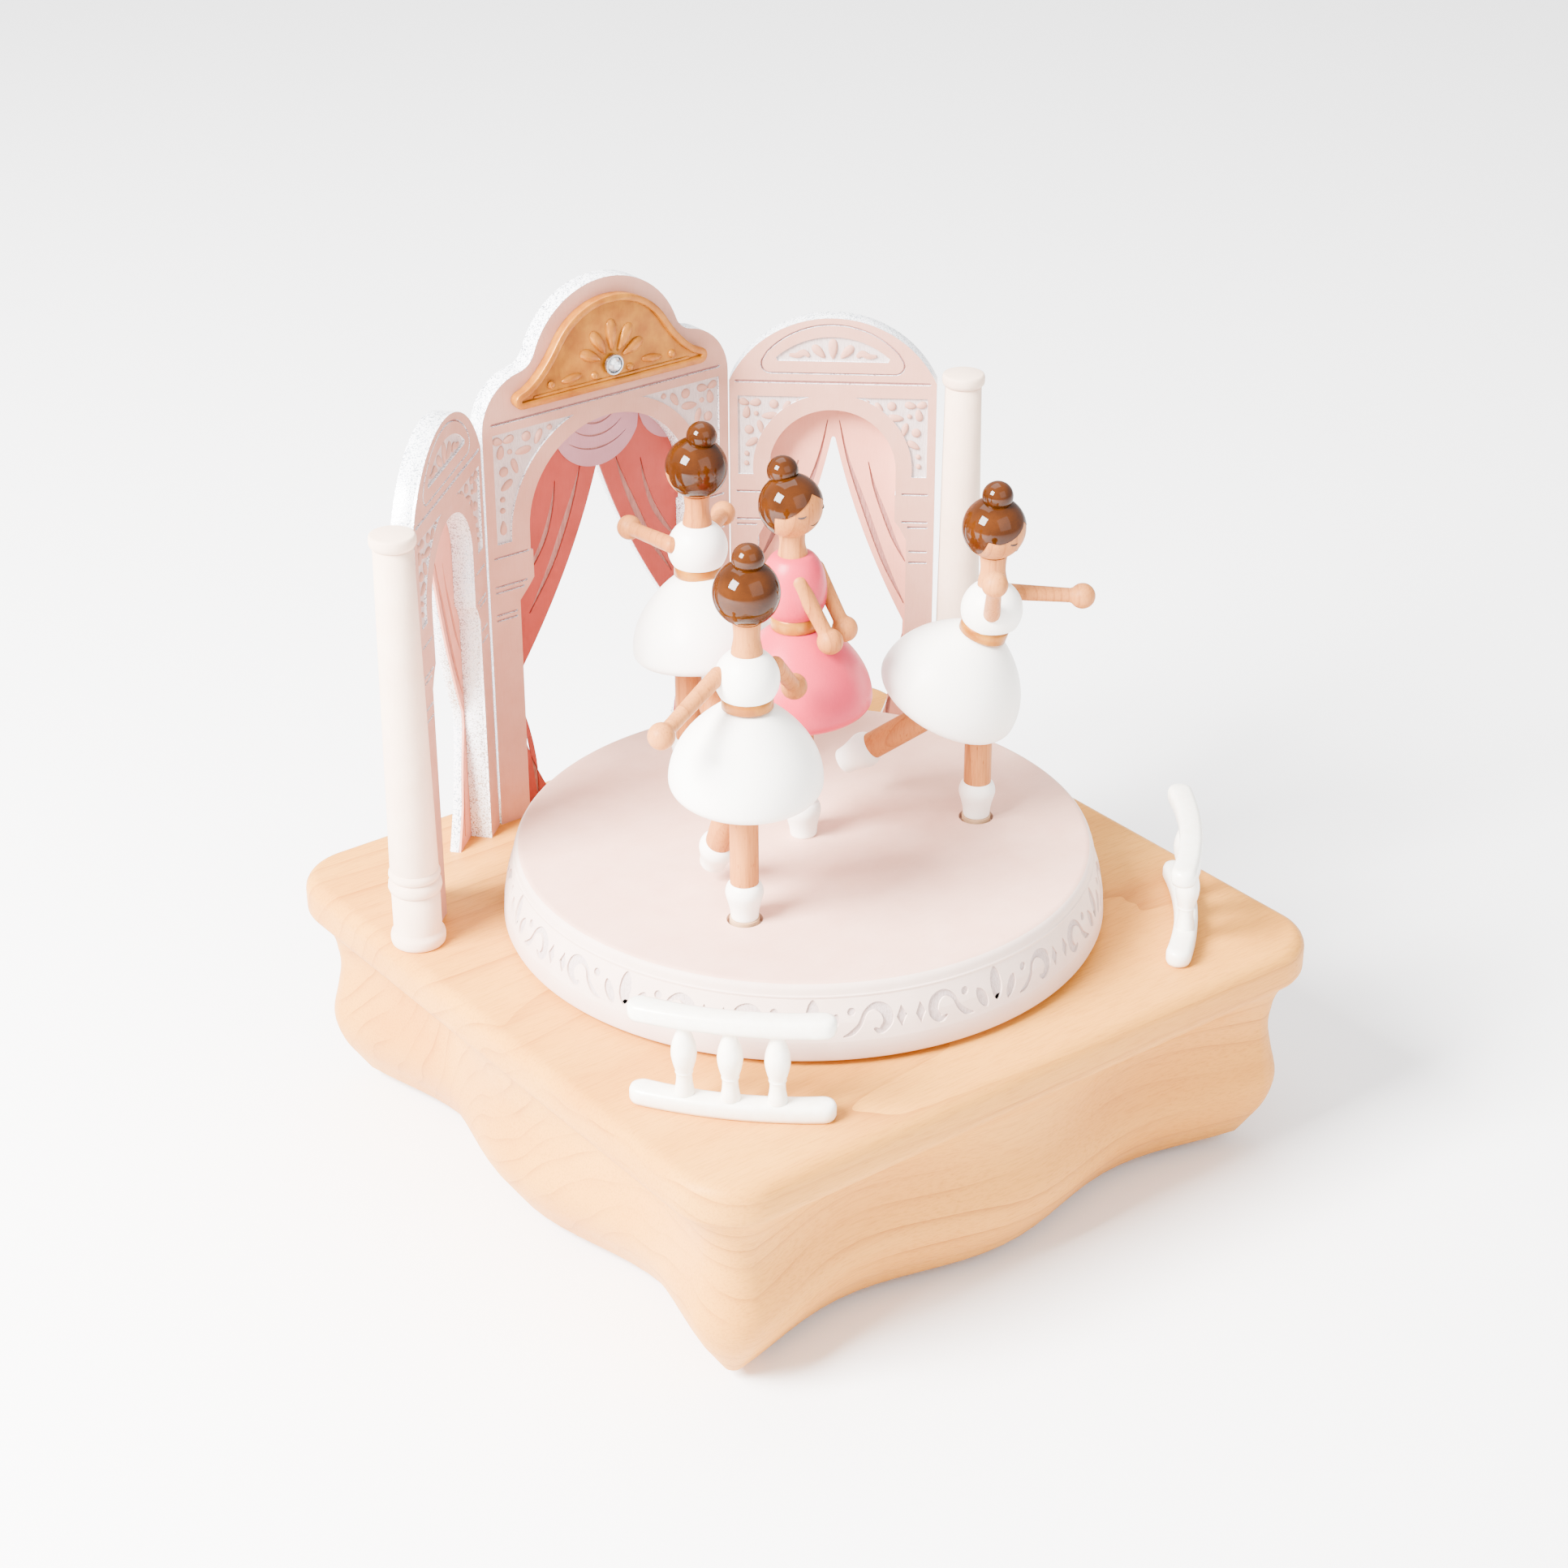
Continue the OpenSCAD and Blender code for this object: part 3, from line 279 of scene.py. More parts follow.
def glitter_edge(name):
    """White paint with fine silver flakes on the sawn edges."""
    made, tree, shader = finish_of(name, coat=0.2, coat_rough=0.3, specular=0.6)
    flakes = node(tree, "ShaderNodeTexVoronoi", {"Vector": placed(tree), "Scale": 4.2}, feature="F1")
    chance = node(tree, "ShaderNodeSeparateColor", {0: flakes.outputs["Color"]}).outputs[0]
    lit = spread(tree, chance, 0.62, 0.8)
    colour = blend(tree, lit, srgb("#F1F2F5"), srgb("#C4CAD4"))
    tree.links.new(math_node(tree, "MULTIPLY", lit, 0.7), shader.inputs["Metallic"])
    join_up(tree, shader, colour, spread(tree, lit, 0, 1, 0.5, 0.25), flakes.outputs["Distance"], 0.05, 0.5)
    return made


def engraved_floor(name, colour, burnt):
    """The rough, lightly scorched floor of a laser cut recess."""
    made, tree, shader = finish_of(name, specular=0.25)
    fibre = noise(tree, placed(tree, (1, 1, 0.12)), 4.2, 4, 0.65)
    speck = noise(tree, placed(tree), 2.8, 3, 0.6)
    mixed = blend(tree, spread(tree, fibre, 0.42, 0.7, 0, 0.75), colour, burnt)
    mixed = blend(tree, spread(tree, speck, 0.58, 0.8, 0, 0.5), mixed, burnt)
    join_up(tree, shader, mixed, 0.75, fibre, 0.15, 0.8)
    return made


def machined_metal(name, colour, rough=0.3):
    """Plated metal with fine tool marks."""
    made, tree, shader = finish_of(name, metallic=1.0)
    marks = noise(tree, placed(tree, (0.3, 1, 1)), 3.0, 4, 0.6)
    dull = noise(tree, placed(tree), 0.3, 3)
    mixed = blend(tree, spread(tree, dull, 0.35, 0.75, 0, 0.35), srgb(colour), srgb("#7C7468"))
    join_up(tree, shader, mixed, spread(tree, marks, 0.3, 0.8, rough - 0.08, rough + 0.12), marks, 0.03, 0.4)
    return made


def moulded(name, colour, dark, rough=0.5):
    """Moulded plastic or rubber with a fine matt texture."""
    made, tree, shader = finish_of(name, specular=0.4)
    grit = noise(tree, placed(tree), 3.5, 3, 0.6)
    patch = noise(tree, placed(tree), 0.3, 2)
    mixed = blend(tree, spread(tree, patch, 0.3, 0.7, 0, 0.6), srgb(colour), srgb(dark))
    join_up(tree, shader, mixed, spread(tree, grit, 0.3, 0.7, rough - 0.06, rough + 0.1), grit, 0.05, 0.5)
    return made


def cut_crystal(name):
    """Clear faceted stone over a bright foil; the light and dark cells in its colour are painted reflections
    of the facets.
    """
    made, tree, shader = finish_of(name, coat=1.0, coat_rough=0.02, metallic=0.65, specular=0.8)
    cells = node(tree, "ShaderNodeTexVoronoi", {"Vector": placed(tree), "Scale": 1.3}, feature="F1")
    # Light and dark cells mixed into the colour: painted reflections of the facets
    painted_facet_flash = node(tree, "ShaderNodeSeparateColor", {0: cells.outputs["Color"]}).outputs[0]
    join_up(tree, shader, blend(tree, painted_facet_flash, srgb("#F8FAFC"), srgb("#9AA0A8")), 0.06)
    return made


def ink(name):
    """Black ink that has sunk into the wood a little."""
    made, tree, shader = finish_of(name, specular=0.3)
    soak = noise(tree, placed(tree), 6.0, 2)
    colour = blend(tree, spread(tree, soak, 0.3, 0.7), srgb("#221E1E"), srgb("#453B38"))
    join_up(tree, shader, colour, 0.55, soak, 0.02)
    return made


MAPLE = solid_wood("maple", srgb("#D4943E"), srgb("#C6822E"), srgb("#8E4C12"))
BEECH = solid_wood("beech", srgb("#BC7A42"), srgb("#AC6831"), srgb("#743A16"), heart=(0, -14, -9), ring=2.6,
                   turn=(0, 90, 0), fleck=0.75)
WASH = painted_wood("pale_wash", srgb("#BE8C7A"), srgb("#B07A66"), 0.55, 0.024, show=0.5, depth=0.06)
DECK_WASH = painted_wood("deck_wash", srgb("#DCB29F"), srgb("#CE9C88"), 0.5, 0.032, (0.06, 1, 1), 0.5, 0.06)
RIM_WASH = painted_wood("rim_wash", srgb("#E0C8BC"), srgb("#D2B3A4"), 0.5, 0.04, (0.1, 0.1, 1), 0.4, 0.05)
COLUMN_WASH = painted_wood("column_wash", srgb("#E6CBB6"), srgb("#D8B79F"), 0.55, 0.024, show=0.5, depth=0.06)
IVORY = painted_wood("ivory_paint", srgb("#F8F5EE"), srgb("#EFE9DF"), 0.34, 0.16, show=0.25, depth=0.07)
PINK = painted_wood("pink_paint", srgb("#C22F48"), srgb("#AE2840"), 0.34, 0.16, show=0.45, depth=0.07)
CORAL = painted_wood("coral_wash", srgb("#A5433A"), srgb("#95382F"), 0.55, 0.02, show=0.5, depth=0.06)
MAUVE = painted_wood("mauve_wash", srgb("#B07F88"), srgb("#A06E79"), 0.55, 0.02, show=0.5, depth=0.06)
PEACH = painted_wood("peach_wash", srgb("#D8927C"), srgb("#CB806C"), 0.55, 0.02, show=0.5, depth=0.06)
HAIR = hair_lacquer("hair_lacquer")
GOLD = gold_leafed("gold_paint")
CREAM = cast_resin("cream_resin")
SPARKLE = glitter_edge("silver_white_edge")
TAUPE = engraved_floor("engraved_taupe", srgb("#C9B7B3"), srgb("#A38C86"))
SCORCH = engraved_floor("engraved_brown", srgb("#A8736A"), srgb("#7E4E47"))
STEEL = machined_metal("plated_steel", "#B9BCC0")
BRASS = machined_metal("brass", "#C9A24B", 0.26)
TAN = moulded("tan_plastic", "#C7A27C", "#A9825C", 0.42)
RUBBER = moulded("black_rubber", "#3C3B3D", "#262527", 0.7)
CRYSTAL = cut_crystal("cut_crystal")
INK = ink("face_ink")


# ---------- shaping helpers ----------


def polar(radius, angle, z=0.0):
    """A point at a distance and an angle in degrees, at a height."""
    return Vector((radius * cos(radians(angle)), radius * sin(radians(angle)), z))


def arc(x, y, radius, start, end, steps):
    """Points along an arc, angles in degrees."""
    turns = [radians(start + (end - start) * i / steps) for i in range(steps + 1)]
    return [(x + radius * cos(a), y + radius * sin(a)) for a in turns]


def flowing(points, per=6):
    """Points along one smooth curve through these ones."""
    out = []
    for i in range(len(points) - 1):
        a, b, c, d = (points[min(max(j, 0), len(points) - 1)] for j in (i - 1, i, i + 1, i + 2))
        for k in range(per):
            t = k / per
            out.append(tuple(0.5 * (2 * q + (r - p) * t + (2 * p - 5 * q + 4 * r - s) * t * t
                                    + (3 * q - p - 3 * r + s) * t ** 3) for p, q, r, s in zip(a, b, c, d)))
    return out + [tuple(points[-1])]


def flipped(points):
    """The mirror image of an outline across x = 0, in reverse order."""
    return [(-x, z) for x, z in reversed(points)]


def ribbon(points, widths, per=6):
    """A closed outline round a smooth line whose half width changes along it."""
    line = flowing([(x, y, w) for (x, y), w in zip(points, widths)], per)
    left, right = [], []
    for i, (x, y, w) in enumerate(line):
        a, b = line[max(i - 1, 0)], line[min(i + 1, len(line) - 1)]
        long = hypot(b[0] - a[0], b[1] - a[1])
        nx, ny = -(b[1] - a[1]) / long, (b[0] - a[0]) / long
        w = max(w, 0.02)
        left.append((x + nx * w, y + ny * w))
        right.append((x - nx * w, y - ny * w))
    return left + right[::-1]


def slot_outline(x0, z0, x1, z1, half):
    """A narrow slot with round ends from one point to another."""
    a = degrees(atan2(z1 - z0, x1 - x0))
    return arc(x1, z1, half, a - 90, a + 90, 4) + arc(x0, z0, half, a + 90, a + 270, 4)


def leaf_outline(x, z, long, wide, angle, tip):
    """A pointed leaf round its centre; a larger tip value makes both ends sharper."""
    out = []
    for i in range(16):
        t = 2 * pi * i / 16
        u, v = long / 2 * cos(t), wide / 2 * sin(t) * abs(sin(t)) ** (tip - 1)
        c, s = cos(radians(angle)), sin(radians(angle))
        out.append((x + u * c - v * s, z + u * s + v * c))
    return out


def clean(bm, tolerance=1e-4):
    """Merges doubles and turns every face outwards."""
    bmesh.ops.remove_doubles(bm, verts=bm.verts, dist=tolerance)
    bmesh.ops.recalc_face_normals(bm, faces=bm.faces)
    return bm


def linked(name, data):
    """A new object in the scene."""
    made = bpy.data.objects.new(name, data)
    bpy.context.scene.collection.objects.link(made)
    return made


def shape_now(thing):
    """An object's mesh as its curve or modifiers leave it."""
    return bpy.data.meshes.new_from_object(thing.evaluated_get(bpy.context.evaluated_depsgraph_get()))


def made_solid(curve):
    """The faces that a curve makes; the curve itself is thrown away."""
    holder = linked("outline", curve)
    mesh = shape_now(holder)
    bm = bmesh.new()
    bm.from_mesh(mesh)
    bpy.data.objects.remove(holder)
    bpy.data.curves.remove(curve)
    bpy.data.meshes.remove(mesh)
    return bm


def mesh_of(bm, name):
    """Turns working geometry into a mesh and frees it."""
    mesh = bpy.data.meshes.new(name)
    bm.to_mesh(mesh)
    bm.free()
    return mesh


def pour(part, whole):
    """Moves one part's faces into another and frees it."""
    mesh = mesh_of(part, "part")
    whole.from_mesh(mesh)
    bpy.data.meshes.remove(mesh)


def hollowed(made, tool):
    """The mesh of an object with a tool's shape cut out of it."""
    cutter = linked("cutter", mesh_of(tool, "cutter"))
    cut = made.modifiers.new("cut", "BOOLEAN")
    cut.operation, cut.solver, cut.object, cut.use_self = "DIFFERENCE", "EXACT", cutter, True
    mesh = shape_now(made)
    made.modifiers.clear()
    bpy.data.objects.remove(cutter)
    return mesh


def split_at(bm, point, normal):
    """Adds a row of edges where a plane crosses the part."""
    bmesh.ops.bisect_plane(bm, geom=bm.verts[:] + bm.edges[:] + bm.faces[:], plane_co=point, plane_no=normal)


def spun(profile, steps=64):
    """A turned shape from (radius, height) points, closed on its axis."""
    bm = bmesh.new()
    line = [bm.verts.new((r, 0, z)) for r, z in profile]
    edges = [bm.edges.new(pair) for pair in zip(line, line[1:])]
    bmesh.ops.spin(bm, geom=line + edges, cent=ORIGIN, axis=UP, angle=2 * pi, steps=steps, use_merge=True)
    return clean(bm)


def board(loops, thickness, ease=0.25):
    """A board cut to closed outlines, upright, its front at y = 0; outlines inside the first are holes."""
    curve = bpy.data.curves.new("outline", "CURVE")
    curve.dimensions, curve.fill_mode = "2D", "BOTH"
    curve.extrude, curve.bevel_depth, curve.offset = thickness / 2 - ease, ease, -ease
    curve.bevel_resolution = 1 if ease > 0 else 0
    for loop in loops:
        spline = curve.splines.new("POLY")
        spline.points.add(len(loop) - 1)
        for point, (x, z) in zip(spline.points, loop):
            point.co = (x, z, 0, 1)
        spline.use_cyclic_u = True
    bm = made_solid(curve)
    bmesh.ops.transform(bm, matrix=shift(0, thickness / 2, 0) @ turned(90, "X"), verts=bm.verts)
    return clean(bm, 1e-5)


def bead(radius, squash, steps):
    """A round bead, flattened along Z."""
    bm = bmesh.new()
    bmesh.ops.create_uvsphere(bm, u_segments=steps[0], v_segments=steps[1], radius=radius)
    bmesh.ops.scale(bm, vec=(1, 1, squash), verts=bm.verts)
    return bm


def petal(x, z, long, wide, angle, rise, taper=0.0):
    """A small raised petal lying on the face y = 0, fuller at its far end when it tapers."""
    bm = bmesh.new()
    bmesh.ops.create_uvsphere(bm, u_segments=14, v_segments=8, radius=1)
    for v in bm.verts:
        v.co.y = max(-1, min(1, v.co.y * 1.35)) * abs(v.co.y) ** 0.2
        v.co = Vector((v.co.x * long / 2, v.co.y * rise, v.co.z * wide / 2 * (1 + taper * v.co.x)))
    bmesh.ops.transform(bm, matrix=Matrix.Translation((x, 0, z)) @ Matrix.Rotation(-radians(angle), 4, "Y"),
                        verts=bm.verts)
    return bm


def tube(points, radius):
    """A thin round line through points in space, thinner at both ends."""
    curve = bpy.data.curves.new("line", "CURVE")
    curve.dimensions, curve.bevel_depth, curve.bevel_resolution = "3D", radius, 2
    curve.use_fill_caps = True
    spline = curve.splines.new("POLY")
    spline.points.add(len(points) - 1)
    for i, (point, co) in enumerate(zip(spline.points, points)):
        point.co = (*co, 1)
        point.radius = 0.35 + 0.65 * sin(pi * (i + 0.4) / (len(points) - 0.2))
    return clean(made_solid(curve), 1e-5)


class Piece:
    """Gathers shaped parts in millimetres, each with its material, into one object."""

    def __init__(self, name):
        self.name, self.bm, self.materials = name, bmesh.new(), []

    def add(self, part, material, place=None):
        """Adds one part at a place given by a matrix, and frees it."""
        if material not in self.materials:
            self.materials.append(material)
        for face in part.faces:
            face.material_index = self.materials.index(material)
        if place is not None:
            bmesh.ops.transform(part, matrix=place, verts=part.verts)
        pour(part, self.bm)
        return self

    def finish(self, body, slot, *nodes, sharp=35):
        """Makes the object in metres, ties it to its body and hides the nodes it stands for; the slot is not
        used.
        """
        bmesh.ops.scale(self.bm, vec=(MM, MM, MM), verts=self.bm.verts)
        mesh = mesh_of(self.bm, self.name)
        mesh.polygons.foreach_set("use_smooth", [True] * len(mesh.polygons))
        mesh.set_sharp_from_angle(angle=radians(sharp))
        for material in self.materials:
            mesh.materials.append(material)
        made = linked(self.name, mesh)
        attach(made, body)
        if nodes:
            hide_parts(*nodes)
        return made


def shift(x=0.0, y=0.0, z=0.0):
    """A plain move."""
    return Matrix.Translation((x, y, z))


def turned(angle, axis="Z"):
    """A turn in degrees about an axis."""
    return Matrix.Rotation(radians(angle), 4, axis)


def reshape(bm, rule):
    """Moves every corner of a mesh by a rule."""
    for v in bm.verts:
        v.co = Vector(rule(v.co))
    return bm


# ---------- base ----------

CORNER_R = 13
LIP_H = 9
WAVE = 3.2
COVER_GAP = 0.3
COVER_LAP = 4
BUSH_R = 6
SIDE_PROFILE = flowing([(LIP_H, 1.2), (LIP_H + 3, 4.4), (LIP_H + 8, 7.4), (22.5, 8.2), (28.5, 7.2), (35, 5.9),
                        (41, 7.4), (46, 10.4), (50, 13)], 4)
LIP_ROUND = 3.2
LIP_PROFILE = [(0, LIP_ROUND)]
LIP_PROFILE += [(LIP_ROUND - LIP_ROUND * cos(radians(a)), LIP_ROUND - LIP_ROUND * sin(radians(a)))
                for a in range(15, 91, 15)]


def base_outline(depth, inset):
    """One level of the block: four serpentine sides with round corners."""
    swing = 0 if depth < LIP_H else min(1, (depth - LIP_H) / 9)
    half = BASE_W / 2 - CORNER_R
    points = []
    for side in range(4):
        for i in range(28):
            t = i / 14 - 1
            out = BASE_W / 2 - inset + swing * (WAVE * cos(pi * t / 0.56) - 0.5)
            points.append(polar(1, 90 * side) * out + polar(1, 90 * side + 90) * t * half)
        r = CORNER_R - inset + swing * (WAVE * cos(pi / 0.56) - 0.5)
        for i in range(12):
            a = 90 * side + 90 * i / 12
            centre = polar(half, 90 * side) + polar(half, 90 * side + 90)
            points.append(centre + polar(r, a))
    return points


def make_base():
    """The bombé block, hollow underneath, with its rounded lip."""
    levels = LIP_PROFILE + [(LIP_H - 2.4, 0), (LIP_H - 1.2, 0.1), (LIP_H - 0.3, 0.6)] + SIDE_PROFILE
    levels += [(BASE_H, 13.6)]
    rings = [base_outline(depth, inset) for depth, inset in levels]
    bm = bmesh.new()
    bmesh.ops.create_grid(bm, x_segments=len(rings[0]), y_segments=len(rings) - 1, size=0.5)
    across, down = len(rings[0]), len(rings) - 1

    def on_wall(co):
        level = round((co.y + 0.5) * down)
        point = rings[level][round((co.x + 0.5) * across) % across]
        return (point.x, point.y, BASE_TOP - levels[level][0])

    reshape(bm, on_wall)
    bmesh.ops.remove_doubles(bm, verts=bm.verts, dist=1e-4)
    bmesh.ops.holes_fill(bm, edges=[e for e in bm.edges if e.is_boundary], sides=0)
    clean(bm)
    block = Piece("base_block")
    block.add(bm, MAPLE)
    made = block.finish("base", "maple_base", "base_body")
    hollow = bmesh.new()
    low, high = mm_box("bottom_cover")
    ceiling = mm_box("stage_bearing")[0].z
    cover_w = high.x - low.x
    recess_w, pocket = cover_w + 2 * COVER_GAP, cover_w - 2 * COVER_LAP
    recess = Matrix.Diagonal((recess_w, recess_w, high.z - low.z + 1, 1))
    room = Matrix.Diagonal((pocket, pocket, ceiling - high.z + 0.2, 1))
    bmesh.ops.create_cube(hollow, size=1, matrix=shift(0, 0, (low.z + high.z) / 2 - 0.5) @ recess)
    bmesh.ops.create_cube(hollow, size=1, matrix=shift(0, 0, (high.z + ceiling) / 2) @ room)
    bmesh.ops.create_cone(hollow, cap_ends=True, segments=48, radius1=BUSH_R, radius2=BUSH_R, depth=12,
                          matrix=shift(0, STAGE_Y, BASE_TOP - 4))
    bmesh.ops.scale(hollow, vec=(MM, MM, MM), verts=hollow.verts)
    made.data = hollowed(made, hollow)


# ---------- stage ----------

RIM_REPEATS = 10
BAND_LOW = 5.6
BAND_HIGH = 14.2
BAND_DEEP = 0.4
BAND_BENDS = (7.1, 9.6, 12)
# Height above the base and how far the stage's side stands in from its foot there
RIM_SHAPE = [(z, STAGE_FOOT_R - inset)
             for z, inset in ((1.1, 1), (1.4, 0.3), (2.1, 0), (4.6, 0.05), (9.6, 0.9), (14.4, 2.5))]


def rim_radius(z):
    """Radius of the stage's side at a height above the base."""
    for (z0, r0), (z1, r1) in zip(RIM_SHAPE, RIM_SHAPE[1:]):
        if z <= z1:
            return r0 + (r1 - r0) * (z - z0) / (z1 - z0)
    return RIM_SHAPE[-1][1]


def rim_motif():
    """Outlines of one engraved repeat: a tall leaf between two leaves, dots, scrolls and diamonds."""
    side = [leaf_outline(3.7, 9.0, 5.0, 2.3, 64, 1.25), arc(7.6, 11.5, 0.85, 0, 330, 11),
            ribbon([(5.9, 6.6), (7.6, 7.2), (9.2, 8.8), (10.4, 11.2), (12.4, 12.2), (14.4, 11.2), (14.9, 9.0),
                    (13.4, 7.2), (12.0, 7.9)],
                   [0.15, 0.62, 0.55, 0.5, 0.8, 1.15, 1.1, 0.75, 0.25], 5),
            [(17.65, 7.4), (18.75, 9.6), (17.65, 11.8), (16.55, 9.6)]]
    return [leaf_outline(0, 10.7, 6.9, 2.9, 90, 1.3)] + side + [flipped(loop) for loop in side]


def rim_band():
    """The skin of the stage's side with the motif cut through it, bent round the stage."""
    whole = bmesh.new()
    wide = 2 * pi * STAGE_FOOT_R / RIM_REPEATS
    scale = wide / 39.3
    frame_loop = [(-wide / 2, BAND_LOW), (wide / 2, BAND_LOW), (wide / 2, BAND_HIGH), (-wide / 2, BAND_HIGH)]
    loops = [frame_loop] + [[(x * scale, z) for x, z in loop] for loop in rim_motif()]
    flat = board(loops, BAND_DEEP, 0)
    for i in range(-13, 14):
        split_at(flat, (wide * i / 28, 0, 0), (1, 0, 0))
    for z in BAND_BENDS:
        split_at(flat, (0, 0, z), (0, 0, 1))
    ends = [f for f in flat.faces if abs(abs(f.calc_center_median().x) - wide / 2) < 1e-3]
    bmesh.ops.delete(flat, geom=ends, context="FACES")

    def bend(co):
        r, a = rim_radius(co.z) - co.y, co.x / STAGE_FOOT_R
        return (r * sin(a), -r * cos(a), co.z)

    reshape(flat, bend)
    mesh = mesh_of(flat, "band")
    for k in range(RIM_REPEATS):
        mesh.transform(turned(360 / RIM_REPEATS))
        whole.from_mesh(mesh)
    bpy.data.meshes.remove(mesh)
    return clean(whole, 2e-3)


def make_stage():
    """The turning stage: a shallow drum with an engraved side, a stepped edge and three spindle holes."""
    top_r = STAGE_FOOT_R - 4.1
    wall, rise = 6.5, DECK - BASE_TOP
    low_rim = [(r, z) for z, r in RIM_SHAPE[:3]]
    outside = [(STAGE_FOOT_R - wall - 0.5, 1.1)] + low_rim + [(rim_radius(BAND_LOW), BAND_LOW)]
    recess = [(rim_radius(BAND_LOW) - BAND_DEEP, BAND_LOW)]
    recess += [(rim_radius(z) - BAND_DEEP, z) for z in BAND_BENDS + (BAND_HIGH,)]
    shoulder = [(rim_radius(BAND_HIGH), BAND_HIGH), (top_r + 1.75, rise - 2.6), (top_r + 1.5, rise - 2.35),
                (top_r + 1.35, rise - 1.6)]
    shoulder += [(top_r - 0.45 + 1.8 * cos(radians(a)), rise - 1.6 + 1.6 * sin(radians(a)))
                 for a in (15, 35, 55, 75)]
    orbit = (Vector(mm_box("front_spindle")[0].xy) + Vector(mm_box("front_spindle")[1].xy)) / 2
    orbit.y -= STAGE_Y
    orbit_r, phase = orbit.length, degrees(atan2(orbit.y, orbit.x))
    stage = Piece("stage_drum")
    under = rise - 6
    top = recess[-1:] + shoulder + [(top_r - 0.45, rise), (0, rise)]
    inside = [(0, under), (top_r - wall, under), (STAGE_FOOT_R - wall - 0.5, 1.1)]
    joined = bmesh.new()
    for profile in (outside + recess, top, inside):
        pour(spun(profile, 180), joined)
    clean(joined, 1e-3)
    holes = bmesh.new()
    for k in range(3):
        centre = polar(orbit_r, phase + 120 * k)
        for radius, z0, z1 in ((3.1, under - 1, rise + 1), (3.7, rise - 1.6, rise + 1)):
            bmesh.ops.create_cone(holes, cap_ends=True, segments=48, radius1=radius, radius2=radius,
                                  depth=z1 - z0, matrix=shift(centre.x, centre.y, (z0 + z1) / 2))
    bmesh.ops.create_cone(holes, cap_ends=True, segments=32, radius1=1.52, radius2=1.52, depth=4,
                          matrix=shift(0, 0, rise - 1.9))
    drum = linked("drum", mesh_of(joined, "drum"))
    drilled = hollowed(drum, holes)
    bpy.data.objects.remove(drum)
    place = shift(0, STAGE_Y, BASE_TOP)
    for want, paint in (("deck", DECK_WASH), ("floor", TAUPE), ("side", RIM_WASH)):
        part = bmesh.new()
        part.from_mesh(drilled)
        part.normal_update()
        out = []
        for face in part.faces:
            c = face.calc_center_median()
            r = hypot(c.x, c.y)
            deck = c.z > rise - 0.3 and face.normal.z > 0.9
            sunk = abs(r - rim_radius(c.z) + BAND_DEEP) < 0.12
            floor = BAND_LOW < c.z < BAND_HIGH and sunk and r > top_r - 1
            kind = "deck" if deck else "floor" if floor else "side"
            if kind != want:
                out.append(face)
        bmesh.ops.delete(part, geom=out, context="FACES")
        stage.add(part, paint, place)
    stage.add(rim_band(), RIM_WASH, place)
    bmesh.ops.remove_doubles(stage.bm, verts=stage.bm.verts, dist=1e-3)
    stage.finish("stage", "pale_wash", "stage_disc", sharp=32)


# ---------- backdrop ----------

SKIN = 0.6
FLOOR_T = 0.06
CROWN_R = 19.5
SHOULDER_R = 12
ARCH_Z = 69
ARCH_R = 21.2
PILLAR_W = 7.6
WING_PILLAR_W = 6.2
WING_ARCH_R = 14.2
WING_ARCH_Z = 69.8
WING_W = 46
WING_H = 105.3
WING_EAVE = 90.5
WING_TURN = 41
CAPITAL_LOW = 56
CAPITAL_TOP = 64


def doorway(foot, capital, radius, z):
    """The doorway's outline: pillars, capitals and the arch above them."""
    right = [(foot, -1), (foot, CAPITAL_LOW - 3), (capital + 1.2, CAPITAL_LOW), (capital, CAPITAL_LOW + 1.6)]
    right += [(capital, CAPITAL_TOP), (radius, CAPITAL_TOP)]
    return right + arc(0, z, radius, 0, 180, 32) + flipped(right)


def open_board(outline, door):
    """One loop round a board whose doorway is open at the bottom."""
    foot = door[0][0]
    return [(foot, 0)] + [p for p in door[1:-1]] + [(-foot, 0)] + outline


def ogee_outline():
    """The middle panel's outline from its left foot over the crown to its right foot."""
    dome, side = Vector((0, PANEL_H - CROWN_R)), Vector((PANEL_W / 2 - SHOULDER_R, PANEL_H - 28))
    fillet = 5
    gap = (dome - side).length
    a, b = SHOULDER_R + fillet, CROWN_R + fillet
    along = (a * a - b * b + gap * gap) / (2 * gap)
    out = sqrt(a * a - along * along)
    u = (dome - side) / gap
    middle = side + u * along + Vector((u.y, -u.x)) * out

    def way(p, q):
        return degrees(atan2(q.y - p.y, q.x - p.x))

    right = arc(side.x, side.y, SHOULDER_R, 0, way(side, middle), 10)
    right += arc(middle.x, middle.y, fillet, way(middle, side) + 360, way(middle, dome) + 360, 7)[1:]
    right += arc(dome.x, dome.y, CROWN_R, way(dome, middle), 90, 14)[1:]
    right = [(PANEL_W / 2, 0)] + right
    return (right + flipped(right)[1:])[::-1]


def wing_outline():
    """A side panel's outline from its left foot over the round top to its right foot."""
    half, rise = WING_W / 2, WING_H - WING_EAVE
    radius = (half * half + rise * rise) / (2 * rise)
    spread_angle = degrees(asin(half / radius))
    top = arc(0, WING_H - radius, radius, 90 + spread_angle, 90 - spread_angle, 30)
    return [(-half, 0)] + top + [(half, 0)]


def spandrel(outer, top, low, arch_z, arch_r, tip, side):
    """The recess beside an arch: two straight edges and one that follows the arch."""
    angle = degrees(acos(min(1, tip / arch_r)))
    low_angle = degrees(asin((low - arch_z) / arch_r))
    curve = arc(0, arch_z, arch_r, angle, low_angle, 16)
    loop = [(outer, low), (outer, top), (tip, top)] + [p for p in curve if p[1] < top and p[0] < outer]
    return loop if side > 0 else [(-x, z) for x, z in loop]


